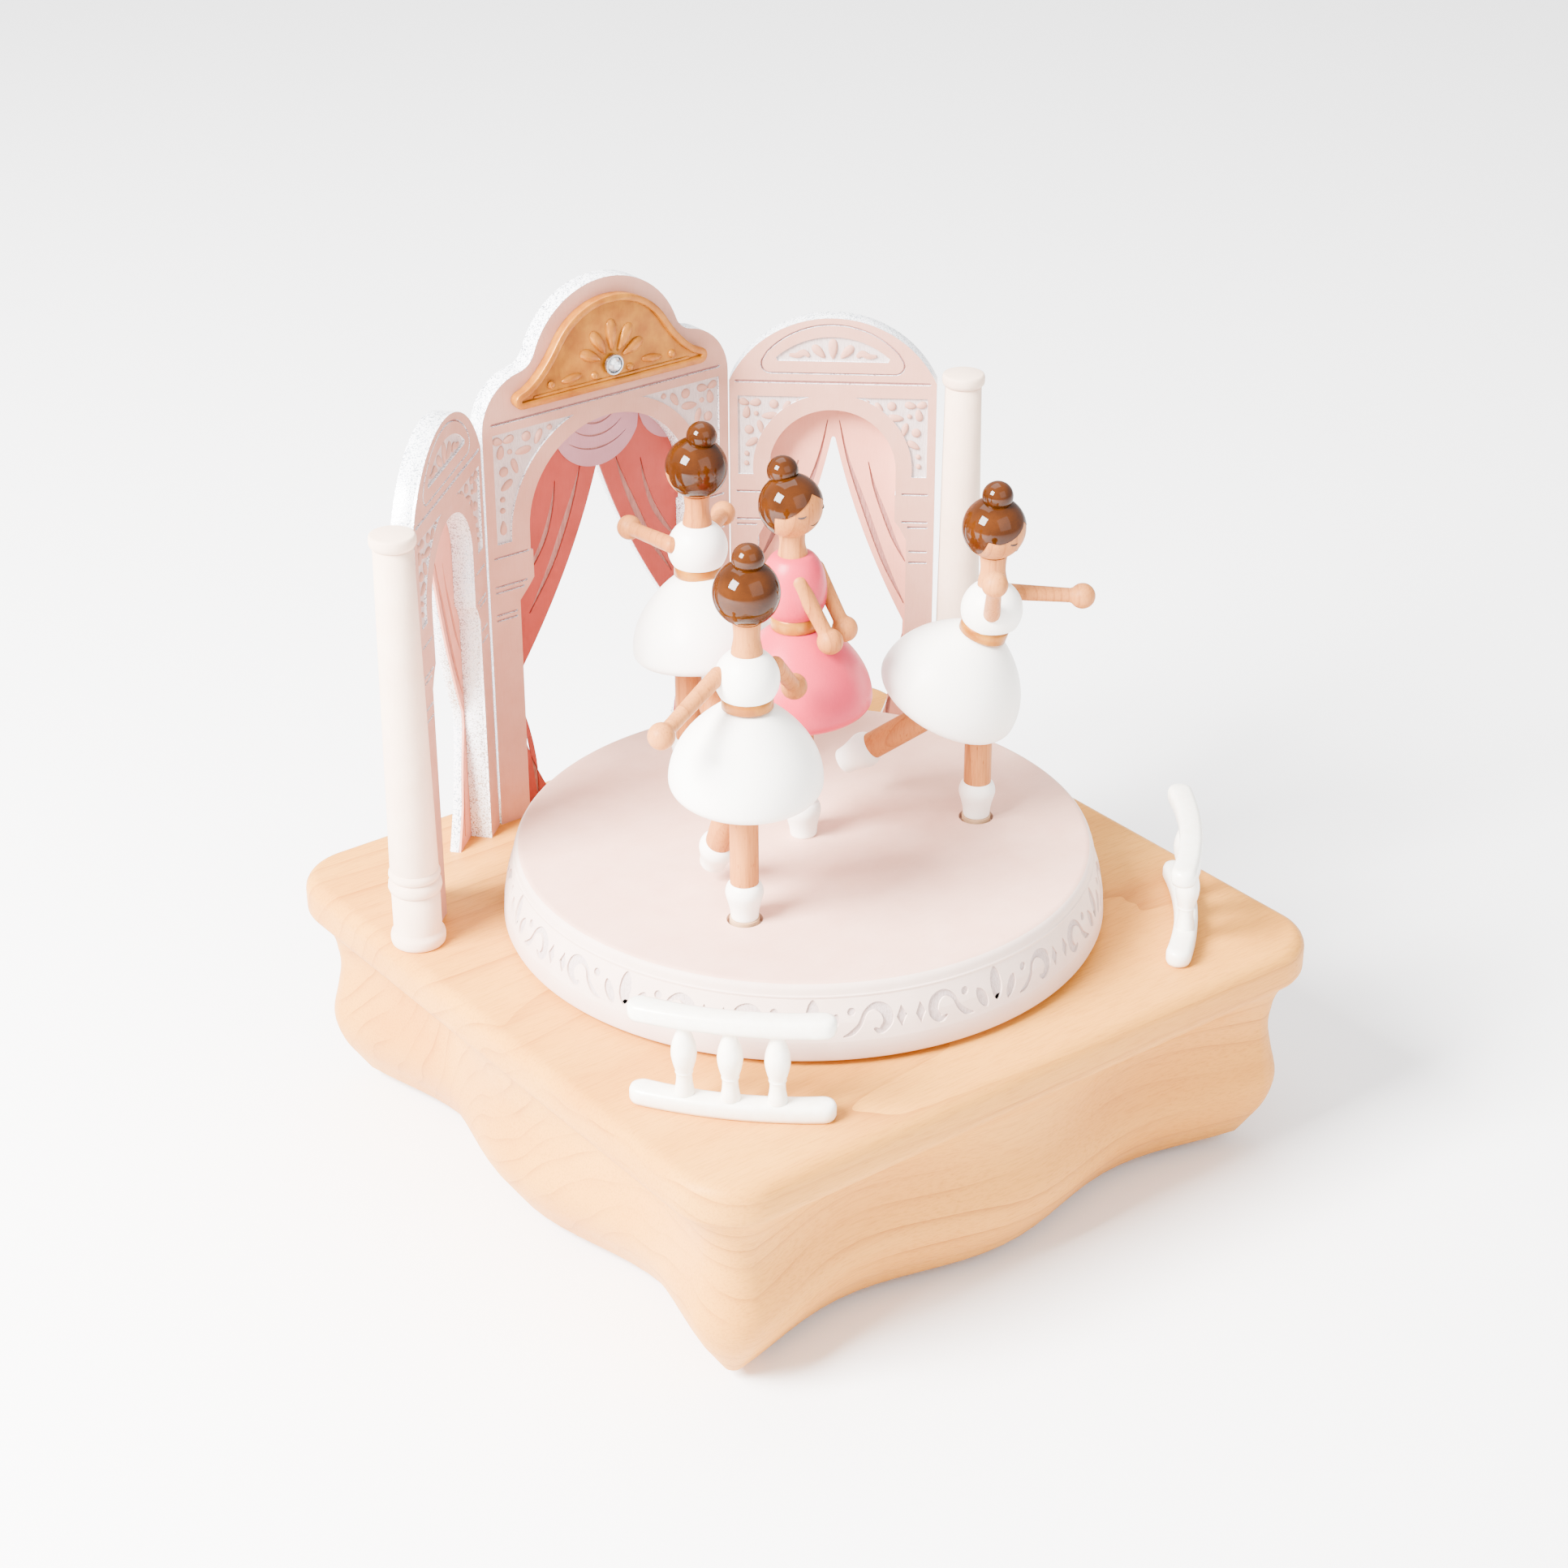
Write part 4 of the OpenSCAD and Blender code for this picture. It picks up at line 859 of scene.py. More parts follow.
# Ornaments beside an arch, from the recess's outer top corner: inwards, down, length, width, turn, taper
SPRAY = [(1.5, 1.8, 2.6, 1.8, 160, 0.25), (4.2, 1.9, 2.9, 1.8, 12, 0.25), (2.1, 4.4, 3.2, 1.8, -100, 0.25),
         (8.7, 2.2, 2.3, 2.3, 0, 0), (4.4, 4.7, 1.2, 1.2, 0, 0), (11.7, 2.9, 3.6, 1.6, 62, 0.15),
         (14.6, 1.5, 1.3, 1.3, 0, 0), (7.8, 5.2, 4.2, 1.8, 5, 0.15), (5.5, 8.2, 3.8, 1.5, -74, -0.2),
         (2.7, 8.9, 2.3, 2.3, 0, 0), (3.3, 12.1, 3.6, 1.7, 34, 0.2), (2.1, 15.1, 1.3, 1.3, 0, 0),
         (2.0, 17.6, 1.3, 1.3, 0, 0)]


def spray(piece, place, outer, top, size, drop):
    """Raises the petals, leaves and dots in both spandrels."""
    shapes = SPRAY + ([(2.0, 21.6, 3.4, 1.6, -90, 0.4)] if drop else [])
    for side in (-1, 1):
        for x, down, long, wide, angle, taper in shapes:
            px, pz = outer - x * size, top - down * size
            tilt = 180 - angle if side > 0 else angle
            part = petal(px * side, pz, long * size, wide * size, tilt, 0.5, taper)
            piece.add(part, WASH, place @ shift(0, SKIN - 0.08, 0))


def add_board(piece, bm, face_paint, edge_paint, place):
    """Adds a board with one paint on its faces and another on its edges."""
    for paint in (face_paint, edge_paint):
        if paint not in piece.materials:
            piece.materials.append(paint)
    bm.normal_update()
    for face in bm.faces:
        edge = abs(face.normal.y) < 0.5
        face.material_index = piece.materials.index(edge_paint if edge else face_paint)
    bmesh.ops.transform(bm, matrix=place, verts=bm.verts)
    pour(bm, piece.bm)


def lay_floors(piece, recesses, paint, place, deep):
    """A thin floor at the bottom of each engraved recess, given by its loops."""
    for loops in recesses:
        piece.add(board(loops, FLOOR_T, 0), paint, place @ shift(0, deep - FLOOR_T + 0.01, 0))


def panel_lines(half, pillar_lines, eave_z, eave_half):
    """Engraved lines: one under the gable and those across both pillars."""
    loops = [slot_outline(-eave_half, eave_z, eave_half, eave_z, 0.34)]
    for z, inner in pillar_lines:
        for side in (-1, 1):
            loops.append(slot_outline(side * (half - 1.7), z, side * inner, z, 0.28))
    return loops


def make_center_panel():
    """The tall middle board with its doorway, engraved spandrels and pillar lines."""
    piece = Piece("center_board")
    door = doorway(PANEL_W / 2 - PILLAR_W, ARCH_R - 0.6, ARCH_R, ARCH_Z)
    whole = open_board(ogee_outline(), door)
    half = PANEL_W / 2
    outer, top = half - 2.5, 92.2
    lines = [(64.2, 21.9), (57.5, 22.6), (56.2, 23.4), (50.9, 25.4), (49.6, 25.4)]
    cuts = [spandrel(outer, top, 67.2, 68, 25.8, 8.9, side) for side in (-1, 1)]
    cuts += panel_lines(half, lines, 94.5, outer)
    place = shift(0, PANEL_Y, BASE_TOP)
    add_board(piece, board([whole] + cuts, SKIN, 0), WASH, SPARKLE, place)
    add_board(piece, board([whole], PANEL_T - SKIN, 0.15), WASH, SPARKLE, place @ shift(0, SKIN, 0))
    lay_floors(piece, [[loop] for loop in cuts[:2]], TAUPE, place, SKIN)
    lay_floors(piece, [[loop] for loop in cuts[2:]], SCORCH, place, SKIN)
    spray(piece, place, outer, top, 1.0, True)
    piece.finish("base", "pale_wash", "center_panel", sharp=40)


def wing_place(side):
    """Where a side panel stands: its inner edge meets the back corner of the middle panel."""
    return (shift(side * (PANEL_W / 2 + 0.4), PANEL_Y + 0.2, BASE_TOP) @ turned(-side * WING_TURN)
            @ shift(side * WING_W / 2, 0, 0))


def tympanum():
    """The half-round recess and the engraved line round it, on a side panel."""
    inner = arc(0, 82.4, 18.6, 47.5, 132.5, 16)
    inner = [(12.2, 95.3), (-12.2, 95.3)] + inner[::-1]
    low, high, wide = 92.7, 103.6, 15.6
    ring = []
    for grow in (0.0, 0.42):
        dome = arc(0, 84.2, high - 84.2 + grow, 42, 138, 18)
        ends_r = 1.9 + grow
        right = arc(wide - 1.9, low + 1.9, ends_r, -90, 25, 7)
        left = arc(-wide + 1.9, low + 1.9, ends_r, 155, 270, 7)
        ring.append(right + dome + left)
    return inner, ring[0], ring[1]


def make_wing(side, name, node_name):
    """A side board with its tympanum, spandrels, lines and doorway."""
    piece = Piece(name)
    half = WING_W / 2
    door = doorway(half - WING_PILLAR_W, WING_ARCH_R - 0.1, WING_ARCH_R, WING_ARCH_Z)
    whole = open_board(wing_outline(), door)
    outer, top = half - 1.9, 87
    lines = [(64.2, 15.8), (57.5, 15.9), (56.2, 17.2), (50.3, 17.6), (47.6, 17.6)]
    spandrels = [spandrel(outer, top, 68.3, 70, 17.8, 5, s) for s in (-1, 1)]
    inner, ring_in, ring_out = tympanum()
    cuts = panel_lines(half, lines, 90.4, half - 1.6)
    place = wing_place(side)
    loops = [whole] + spandrels + cuts + [inner, ring_out, ring_in]
    add_board(piece, board(loops, SKIN, 0), WASH, SPARKLE, place)
    add_board(piece, board([whole], PANEL_T - SKIN, 0.15), WASH, SPARKLE, place @ shift(0, SKIN, 0))
    lay_floors(piece, [[loop] for loop in spandrels + [inner]], TAUPE, place, SKIN)
    lay_floors(piece, [[loop] for loop in cuts] + [[ring_out, ring_in]], SCORCH, place, SKIN)
    spray(piece, place, outer, top, 0.92, False)
    on_floor = place @ shift(0, SKIN - 0.08, 0)
    piece.add(petal(0, 98.1, 4.9, 2.0, 90, 0.5, 0.35), WASH, on_floor)
    for s in (-1, 1):
        piece.add(petal(s * 3.1, 97.4, 4.1, 1.9, 90 - s * 43, 0.5, 0.35), WASH, on_floor)
        curl = [(s * 5.3, 96.3), (s * 6.4, 97.2), (s * 7.9, 96.5), (s * 9.6, 96.6)]
        curl = ribbon(curl, [0.35, 0.7, 0.6, 0.3], 4)
        piece.add(board([curl], 0.4, 0.1), WASH, place @ shift(0, SKIN - 0.4, 0))
    piece.finish("base", "pale_wash", node_name, sharp=40)


def curtain_edge(peak, tie_x, tie_z, hem_x):
    """Inner edge of a tied-back curtain, from its peak down to the floor."""
    down = [(0.45 + (tie_x - 0.45) * (0.62 * u + 0.38 * u * u), peak + (tie_z - peak) * u)
            for u in [i / 16 for i in range(1, 17)]]
    flare = [(tie_x + (hem_x - tie_x) * u * u, tie_z * (1 - u)) for u in [i / 8 for i in range(1, 9)]]
    peak_round = arc(0, peak - 0.1, 0.45, 90, 10, 3)
    return peak_round + down + flare


def curtain(piece, place, wide, top, edge, folds, paint, thick):
    """A curtain board with engraved tapered folds, the outline worked out for one half and mirrored."""
    half = edge + [(wide, 0), (wide, top - 9), (wide - 9, top)]
    outline = half + flipped(half)
    grooves = [ribbon(points, widths, 5) for points, widths in folds]
    grooves += [[(-x, z) for x, z in loop] for loop in grooves]
    skin = 0.45
    add_board(piece, board([outline] + grooves, skin, 0), paint, paint, place)
    add_board(piece, board([outline], thick - skin, 0.12), paint, SPARKLE, place @ shift(0, skin, 0))
    lay_floors(piece, [[loop] for loop in grooves], SCORCH, place, skin)


def make_center_curtain():
    """The coral curtain with its mauve swags."""
    low, high = mm_box("center_curtain")
    thick = high.y - low.y
    piece = Piece("center_drape")
    place = shift(0, low.y, BASE_TOP)
    folds = [([(4.6, 78.3), (6.4, 72.5), (9.3, 65.2), (13.4, 56.2), (19.2, 46.6)],
              [0.1, 0.5, 0.85, 0.75, 0.12]),
             ([(11.3, 76.0), (12.3, 70.5), (14.3, 64.2), (17.2, 59.0), (20.6, 54.6)],
              [0.1, 0.45, 0.7, 0.6, 0.15]),
             ([(23.2, 27.5), (21.0, 18.5), (19.6, 10.0), (19.0, 2.0)], [0.12, 0.5, 0.6, 0.3]),
             ([(25.4, 28.5), (24.6, 18.0), (24.2, 8.0), (24.2, 1.5)], [0.1, 0.4, 0.5, 0.25])]
    edge = curtain_edge(77, PANEL_W / 2 - PILLAR_W - 0.6, 31, 15)
    top = high.z - BASE_TOP
    curtain(piece, place, high.x, top, edge, folds, CORAL, thick)
    swag_front = place @ shift(0, -0.14, 0)
    for centre in (-20.5, 20.5):
        x_out = high.x - 0.4
        drop = [(x, 88.4 - sqrt(max(0.0, 9.6 ** 2 - (x - 20.5) ** 2))) for x in [11.2 + i for i in range(18)]]
        lobe = [(min(x, x_out), z) for x, z in drop]
        lobe += [(x_out, top - 10), (x_out - 9.2, top - 0.8), (11.2, top - 0.8)]
        lobe = lobe if centre > 0 else [(-x, z) for x, z in lobe]
        piece.add(board([lobe], 0.16, 0.03), MAUVE, swag_front)
    middle = arc(0, 88.5, 11.5, 205, 335, 26)
    middle = [(-11.5, top - 0.8)] + middle + [(11.5, top - 0.8)]
    lines = []
    for centre_z, radius, spread_angle in ((93.5, 9.4, 42), (93.5, 12.4, 37), (93.5, 6.6, 46)):
        line = arc(0, centre_z, radius, 270 - spread_angle, 270 + spread_angle, 6)
        lines.append(ribbon(line, [0.05, 0.14, 0.2, 0.24, 0.2, 0.14, 0.05], 3))
    piece.add(board([middle] + lines, 0.3, 0.0), MAUVE, place @ shift(0, -0.3, 0))
    for loop in lines:
        piece.add(board([loop], 0.05, 0), SCORCH, place @ shift(0, -0.05, 0))
    piece.finish("base", "coral_wash", "center_curtain", sharp=40)


def make_side_curtain(side, name, node_name):
    """A peach curtain behind a side doorway."""
    low, high = mm_box("center_curtain")
    piece = Piece(name)
    place = wing_place(side) @ shift(0, PANEL_T, 0)
    folds = [([(1.3, 79.8), (3.3, 70.5), (6.8, 60.0), (11.6, 46.0), (16.4, 35.2)],
              [0.1, 0.35, 0.7, 0.65, 0.12]),
             ([(7.9, 70.0), (9.3, 64.0), (11.6, 57.5), (14.0, 51.0), (16.6, 45.6)],
              [0.1, 0.35, 0.6, 0.5, 0.12]),
             ([(16.2, 27.5), (14.4, 18.5), (13.2, 9.5), (12.8, 2.0)], [0.1, 0.45, 0.5, 0.25])]
    edge = curtain_edge(75.5, WING_W / 2 - WING_PILLAR_W - 0.6, 31, 9)
    curtain(piece, place, WING_W / 2 - 2.4, WING_ARCH_Z + WING_ARCH_R + 2, edge, folds, PEACH, high.y - low.y)
    piece.finish("base", "peach_wash", node_name, sharp=40)


def make_pediment():
    """The gold tablet: raised border, a fan of petals, leaves and dots round the stone."""
    thick = PEDIMENT_HIGH.y - PEDIMENT_LOW.y
    low, high = PEDIMENT_LOW.z - BASE_TOP, PEDIMENT_HIGH.z - BASE_TOP
    half_w = (PEDIMENT_HIGH.x - PEDIMENT_LOW.x) / 2
    dome_r, toe_r = 16.7, 1.8

    def outline(inset):
        dome_z, join = high - dome_r, 14
        join_z = dome_z + sqrt(dome_r ** 2 - join ** 2)
        toe_x = half_w - toe_r
        slope = []
        for i in range(1, 12):
            u = i / 12
            slope.append((toe_x + (join - toe_x) * u, low + 2 * toe_r + (join_z - low - 2 * toe_r)
                          * (u * u * 0.55 + u * 0.45)))
        start = degrees(acos(join / dome_r))
        right = arc(toe_x, low + toe_r, toe_r, -90, 70, 7) + slope + arc(0, dome_z, dome_r, start, 90, 12)
        loop = right + flipped(right)[1:]
        if inset <= 0:
            return loop
        out = []
        for i, (x, z) in enumerate(loop):
            a, b = loop[i - 1], loop[(i + 1) % len(loop)]
            long = hypot(b[0] - a[0], b[1] - a[1]) or 1
            out.append((x - (b[1] - a[1]) / long * inset, z + (b[0] - a[0]) / long * inset))
        return out

    piece = Piece("gold_tablet")
    place = shift(0, PEDIMENT_LOW.y, BASE_TOP)
    border = 0.75
    core = board([outline(0.15)], thick - border, 0.2)
    piece.add(core, GOLD, place @ shift(0, border, 0))
    piece.add(board([outline(0), outline(1.55)], border + 0.6, 0.3), GOLD, place)
    on_field = place @ shift(0, border, 0)
    gem_low, gem_high = mm_box("rhinestone")
    gem_z = (gem_low.z + gem_high.z) / 2 - BASE_TOP
    fan = ((90, 6.4, 7.4), (58, 6.2, 6.8), (122, 6.2, 6.8), (27, 6.0, 6.0), (153, 6.0, 6.0))
    for angle, reach, long in fan:
        a = radians(angle)
        piece.add(petal(reach * cos(a), gem_z + reach * sin(a), long, 2.5, angle, 0.85, 0.42), GOLD, on_field)
    for s in (-1, 1):
        piece.add(petal(s * 10.4, gem_z - 1.0, 5.4, 1.9, s * -6, 0.7, s * -0.1), GOLD, on_field)
        piece.add(petal(s * 4.6, gem_z - 1.7, 1.8, 1.8, 0, 0.7), GOLD, on_field)
        piece.add(petal(s * 15.6, gem_z - 1.2, 1.9, 1.9, 0, 0.7), GOLD, on_field)
    piece.add(board([slot_outline(-half_w + 5, low + 1.9, half_w - 5, low + 1.9, 0.32)], 0.5, 0.12), GOLD,
              place @ shift(0, border - 0.35, 0))
    piece.finish("base", "gold_paint", "gold_pediment", sharp=38)

    stone = Piece("set_stone")
    centre = shift(0, (gem_low.y + gem_high.y) / 2, (gem_low.z + gem_high.z) / 2) @ turned(90, "X")
    facets = bmesh.new()
    radius, tall = (gem_high.x - gem_low.x) / 2, gem_high.y - gem_low.y
    bmesh.ops.create_cone(facets, cap_ends=True, segments=10, radius1=radius, radius2=radius * 0.55,
                          depth=tall)
    top_face = [f for f in facets.faces if f.normal.z > 0.9]
    bmesh.ops.inset_region(facets, faces=top_face, thickness=radius * 0.14, depth=0.06)
    bmesh.ops.triangulate(facets, faces=[f for f in facets.faces if abs(f.normal.z) < 0.9])
    stone.add(facets, CRYSTAL, centre)
    section = [(-0.1, -0.1), (0.35, -0.1), (0.3, 0.5), (-0.05, 0.55), (-0.1, -0.1)]
    collar = spun([(radius + out, -tall / 2 + up) for out, up in section], 32)
    stone.add(collar, STEEL, centre)
    stone.finish("base", "crystal", "rhinestone", sharp=5)


COLUMN_PROFILE = [(0, 0), (5.2, 0), (5.58, 0.4), (5.75, 1.1), (5.75, 2.0), (5.6, 2.7), (5.1, 3.15),
                  (5.05, 3.6), (5.05, 12.1), (4.8, 12.35), (5.35, 12.75), (5.62, 13.6), (5.5, 14.6),
                  (5.0, 15.2), (4.75, 15.4), (5.15, 15.7), (5.42, 16.4), (5.35, 17.0), (4.95, 17.6),
                  (5.05, 17.8)]


def make_columns():
    """Two slim turned columns at the outer ends of the side panels."""
    low, high = mm_box("columns")
    tall = high.z - low.z
    foot = COLUMN_PROFILE[3][0]
    shaft = [(4.75, 40), (4.4, 65), (4.07, tall - 3.2), (3.8, tall - 2.95), (4.1, tall - 2.8),
             (4.6, tall - 2.3), (4.75, tall - 1.8), (4.75, tall - 0.7), (4.55, tall - 0.15), (4.2, tall),
             (0, tall)]
    piece = Piece("turned_columns")
    for side in (-1, 1):
        x = side * (high.x - foot)
        y = (low.y + high.y) / 2
        piece.add(spun(COLUMN_PROFILE + shaft, 48), COLUMN_WASH, shift(x, y, BASE_TOP))
    piece.finish("base", "pale_wash", "columns", sharp=50)


RAIL_R = 81
RAIL_TURN = 47.5
RAIL_ARC = 25
RAIL_W = 5.2
RAIL_H = 3.8
BALUSTRADE_H = 22.6
BALUSTER_PITCH = 6.4


def rail_bar(z, waist):
    """A curved bar with full round ends, fatter towards its ends when it has a waist."""
    steps = 26
    points = []
    for i in range(steps + 1):
        a = -RAIL_ARC / 2 + RAIL_ARC * i / steps
        points.append((a, RAIL_W / 2 - waist * (1 - (2 * i / steps - 1) ** 2)))
    outer = [tuple(polar(RAIL_R + w, a).xy) for a, w in points]
    inner = [tuple(polar(RAIL_R - w, a).xy) for a, w in reversed(points)]
    ends = []
    for a, way in ((RAIL_ARC / 2, 1), (-RAIL_ARC / 2, -1)):
        centre = polar(RAIL_R, a)
        first = a if way > 0 else a + 180
        ends.append(arc(centre.x, centre.y, RAIL_W / 2, first, first + 180, 12)[1:-1])
    bm = board([outer + ends[0] + inner + ends[1]], RAIL_H, 1.05)
    bmesh.ops.transform(bm, matrix=shift(0, 0, z + RAIL_H) @ turned(-90, "X"), verts=bm.verts)
    return bm


BALUSTER = flowing([(1.95, 0), (1.9, 0.7), (1.6, 2.6), (1.55, 4.2), (1.75, 4.8), (1.7, 5.2), (2.2, 7.0),
                    (2.5, 9.0), (2.3, 11.0), (1.7, 13.0), (1.45, 14.0), (1.6, 15.1)], 3)


def make_balustrades():
    """Two short cream balustrades: a bottom rail, three balusters and a handrail each."""
    bars = {"lower_bars": ("bottom_rails", 0.0, 0.15),
            "upper_bars": ("handrails", BALUSTRADE_H - RAIL_H, 0.25)}
    places = [shift(0, STAGE_Y, BASE_TOP) @ turned(-90 + s * RAIL_TURN) for s in (-1, 1)]
    for name, (node_name, z, waist) in bars.items():
        piece = Piece(name)
        for place in places:
            piece.add(rail_bar(z, waist), CREAM, place)
        piece.finish("base", "cream_resin", node_name, sharp=60)
    piece = Piece("little_posts")
    for place in places:
        for i in (-1, 0, 1):
            post = spun([(0, 0)] + BALUSTER + [(0, 15.1)], 32)
            piece.add(post, CREAM, place @ turned(i * BALUSTER_PITCH) @ shift(RAIL_R, 0, RAIL_H))
    piece.finish("base", "cream_resin", "balusters", sharp=60)


# ---------- dancers ----------

HEAD_R = 6.5
BUN_R = 3.2
HEAD_UP = 18.1
BODICE_R = 6.4
BELT_R = 5.1
BELT_H = 2.6
SKIRT_R = 15.3
SKIRT_H = 18.4
LEG_R = 2.9
ARM_R = 1.75
WRIST_R = 1.5
HAND_R = 2.7
SHOE_H = 8
NECK_R = 2.65
NECK_LOW = 5.4
NECK_TOP = 12.2
SPINDLE_STAND = 0.5
SHOULDER_DRAW = 0.35

# A waist set aside from its spindle goes this way
WAIST_WAY = -37
# Each dancer: waist, leans and facing, then the raised leg, its foot, the hands, the face and the bun
DANCERS = {
    "front": dict(waist=47.4, aside=0.9, skirt_lean=4, torso_lean=3, facing=60,
                  leg_way=75, leg_drop=60, foot=(15, 8.3), hands=((21.6, 188, 49), (18.4, 20, 44.3)),
                  face=60, bun=(-0.45, -0.27, 7.1), nod=0),
    "right": dict(waist=42.8, aside=0.0, skirt_lean=25, torso_lean=18, facing=-45,
                  leg_way=125, leg_drop=37, foot=(25.6, 11.5), hands=((21.4, -25, 49.3), (18, -124, 62)),
                  face=-59, bun=(0.67, -0.5, 7.2), nod=14),
    "back": dict(waist=47.2, aside=2.5, skirt_lean=8, torso_lean=0, facing=118,
                 leg_way=-95, leg_drop=50, foot=(19, 9.5), hands=((19.5, 93, 51.5), (20.4, 31, 53)),
                 face=92, bun=(-1.1, -0.65, 7.1), nod=0),
}


def belt_cut(radius):
    """How far below its centre a round bodice meets the belt."""
    return -sqrt(radius * radius - BELT_R * BELT_R) + 0.35


def turned_leg(long):
    """A leg along +Z from the toe: painted bulbous shoe, then bare dowel."""
    shoe = flowing([(2.55, 0.0), (2.8, 0.25), (2.95, 1.8), (3.3, 3.4), (3.78, 5.1), (3.86, 6.2), (3.55, 7.3),
                    (3.05, 7.95), (LEG_R + 0.02, 8.05)], 4)
    shoe = spun([(0, 0)] + shoe + [(0, 8.05)], 40)
    dowel = spun([(LEG_R, SHOE_H - 0.5), (LEG_R, long - 0.3), (LEG_R - 0.3, long), (0, long)], 40)
    return shoe, dowel


def skirt_shape(radius, tall):
    """A turned bell with a soft round hem and a slightly hollow underside."""
    soft, waist = 2.4, BELT_R - 0.4
    hem = arc(radius - soft, -tall + soft, soft, -90, 0, 8)
    side = []
    for i in range(27, 0, -1):
        t = (i / 28) ** 1.2
        side.append((waist + (radius - waist) * sin(radians(90 * t ** 0.85)), -t * (tall - soft)))
    under = [(0, -tall + 1.2), (radius - soft - 3, -tall + 0.9), (radius - soft - 1, -tall + 0.25)]
    return spun(under + hem + side + [(BELT_R - 0.4, 0), (0, 0)], 72)


def torso_shape(radius):
    """The painted bodice and, as its own part, the bare neck."""
    low = belt_cut(radius)
    a0, a1 = degrees(asin(low / radius)), degrees(asin(NECK_LOW / radius))
    round_part = arc(0, 0, radius, a0, a1, 20)
    bodice = spun([(0, low)] + round_part + [(NECK_R + 0.45, NECK_LOW + 0.12), (NECK_R, NECK_LOW + 0.1),
                                             (0, NECK_LOW + 0.1)], 56)
    neck = spun([(0, NECK_LOW - 0.4)] + flowing([(NECK_R + 0.5, NECK_LOW - 0.3),
                                                 (NECK_R + 0.4, NECK_LOW + 0.9),
                                                 (NECK_R, NECK_LOW + 3.0), (NECK_R, NECK_TOP - 2.0),
                                                 (NECK_R + 0.2, NECK_TOP - 0.15)], 4)
                + [(0, NECK_TOP - 0.15)], 40)
    return bodice, neck


def hairline(turn):
    """Height angle of the hair's lower edge at a turn away from the face, both in degrees."""
    side = abs(turn)
    if side <= 62:
        return -3 + 37 * (1 - side / 62) ** 1.3
    return -3 - 46 * (1 - exp(-max(0.0, side - 81) / 8))


def hair_cap(radius, thick):
    """A shell of paint over the head with a centre parting and a lock in front of each ear."""
    bm = bmesh.new()
    across, down = 144, 30
    bmesh.ops.create_grid(bm, x_segments=across, y_segments=down, size=0.5)

    def on_head(co):
        turn = co.x * 360
        squeeze = turn + 3.2 * sin(radians(turn * 2))
        low = hairline(squeeze)
        up = radians(low + (90 - low) * (co.y + 0.5))
        return polar(radius * cos(up), squeeze, radius * sin(up))

    reshape(bm, on_head)
    clean(bm, 1e-3)
    if sum((f.normal.dot(f.calc_center_median()) for f in bm.faces)) < 0:
        bmesh.ops.reverse_faces(bm, faces=bm.faces)
    bmesh.ops.solidify(bm, geom=bm.faces[:], thickness=thick)
    return bm


def on_face(turn, up, radius):
    """A point on the head, given its turn from the face and its height angle."""
    return polar(radius * cos(radians(up)), turn, radius * sin(radians(up)))


def face_lines():
    """Closed lids with lashes and a small smile, as thin ink lines on the bead."""
    lines = []
    r = HEAD_R + 0.02
    for s in (-1, 1):
        lid = [on_face(s * (31 + 8 * t), -1.5 - 2.2 * (1 - t * t), r) for t in [-1 + i / 4 for i in range(9)]]
        lines.append(tube(lid, 0.19))
        for t, reach in ((0.75, 3.0), (0.35, 3.2), (-0.1, 2.8)):
            start = (s * (31 + 8 * t), -1.5 - 2.2 * (1 - t * t))
            lines.append(tube([on_face(start[0] + s * reach * 0.45 * k, start[1] - reach * 0.5 * k, r)
                               for k in (0, 0.5, 1)], 0.1))
    smile = [on_face(11 * t, -27 + 3.5 * t * t, r) for t in [-1 + i / 5 for i in range(11)]]
    lines.append(tube(smile, 0.12))
    return lines


def head_parts(nod, bun_at):
    """Bare head bead, painted hair, bun and face lines with their materials, round the head's centre."""
    skull = spun([(0, -HEAD_R * 0.999)] + arc(0, 0, HEAD_R, -88, 88, 40) + [(0, HEAD_R)], 64)
    keep = NECK_TOP - HEAD_UP
    bmesh.ops.bisect_plane(skull, geom=skull.verts[:] + skull.edges[:] + skull.faces[:],
                           plane_co=(0, 0, keep), plane_no=(0, 0, -1), clear_outer=True)
    bmesh.ops.holes_fill(skull, edges=[e for e in skull.edges if e.is_boundary], sides=0)
    tip = turned(nod, "Y")
    parts = [(skull, BEECH, Matrix.Identity(4)), (hair_cap(HEAD_R + 0.09, 0.12), HAIR, tip)]
    bun = bead(BUN_R, 0.97, (40, 24))
    parts.append((bun, HAIR, shift(*bun_at)))
    parts += [(line, INK, tip) for line in face_lines()]
    return parts


def arm_shape(start, end):
    """A tapered dowel from the shoulder to a round hand."""
    way = end - start
    long = way.length
    neck = sqrt(HAND_R ** 2 - WRIST_R ** 2)
    profile = [(0, -ARM_R)] + arc(0, 0, ARM_R, -80, -2, 8)
    profile += [(ARM_R - (ARM_R - WRIST_R) * t, (long - neck) * t) for t in (0.2, 0.5, 0.8)]
    profile += [(WRIST_R + 0.02, long - neck - 0.35), (WRIST_R + 0.18, long - neck + 0.1)]
    hand_start = degrees(asin(-neck / HAND_R)) + 9
    profile += arc(0, long, HAND_R, hand_start, 86, 18) + [(0, long + HAND_R)]
    bm = spun(profile, 32)
    return bm, Matrix.Translation(start) @ way.to_track_quat("Z", "X").to_matrix().to_4x4()


def waist_band(tall, ease):
    """A flat gold band with eased edges."""
    side = [(BELT_R - ease, 0), (BELT_R, ease), (BELT_R, tall - ease), (BELT_R - ease, tall)]
    return spun([(0, 0)] + side + [(0, tall)], 56)


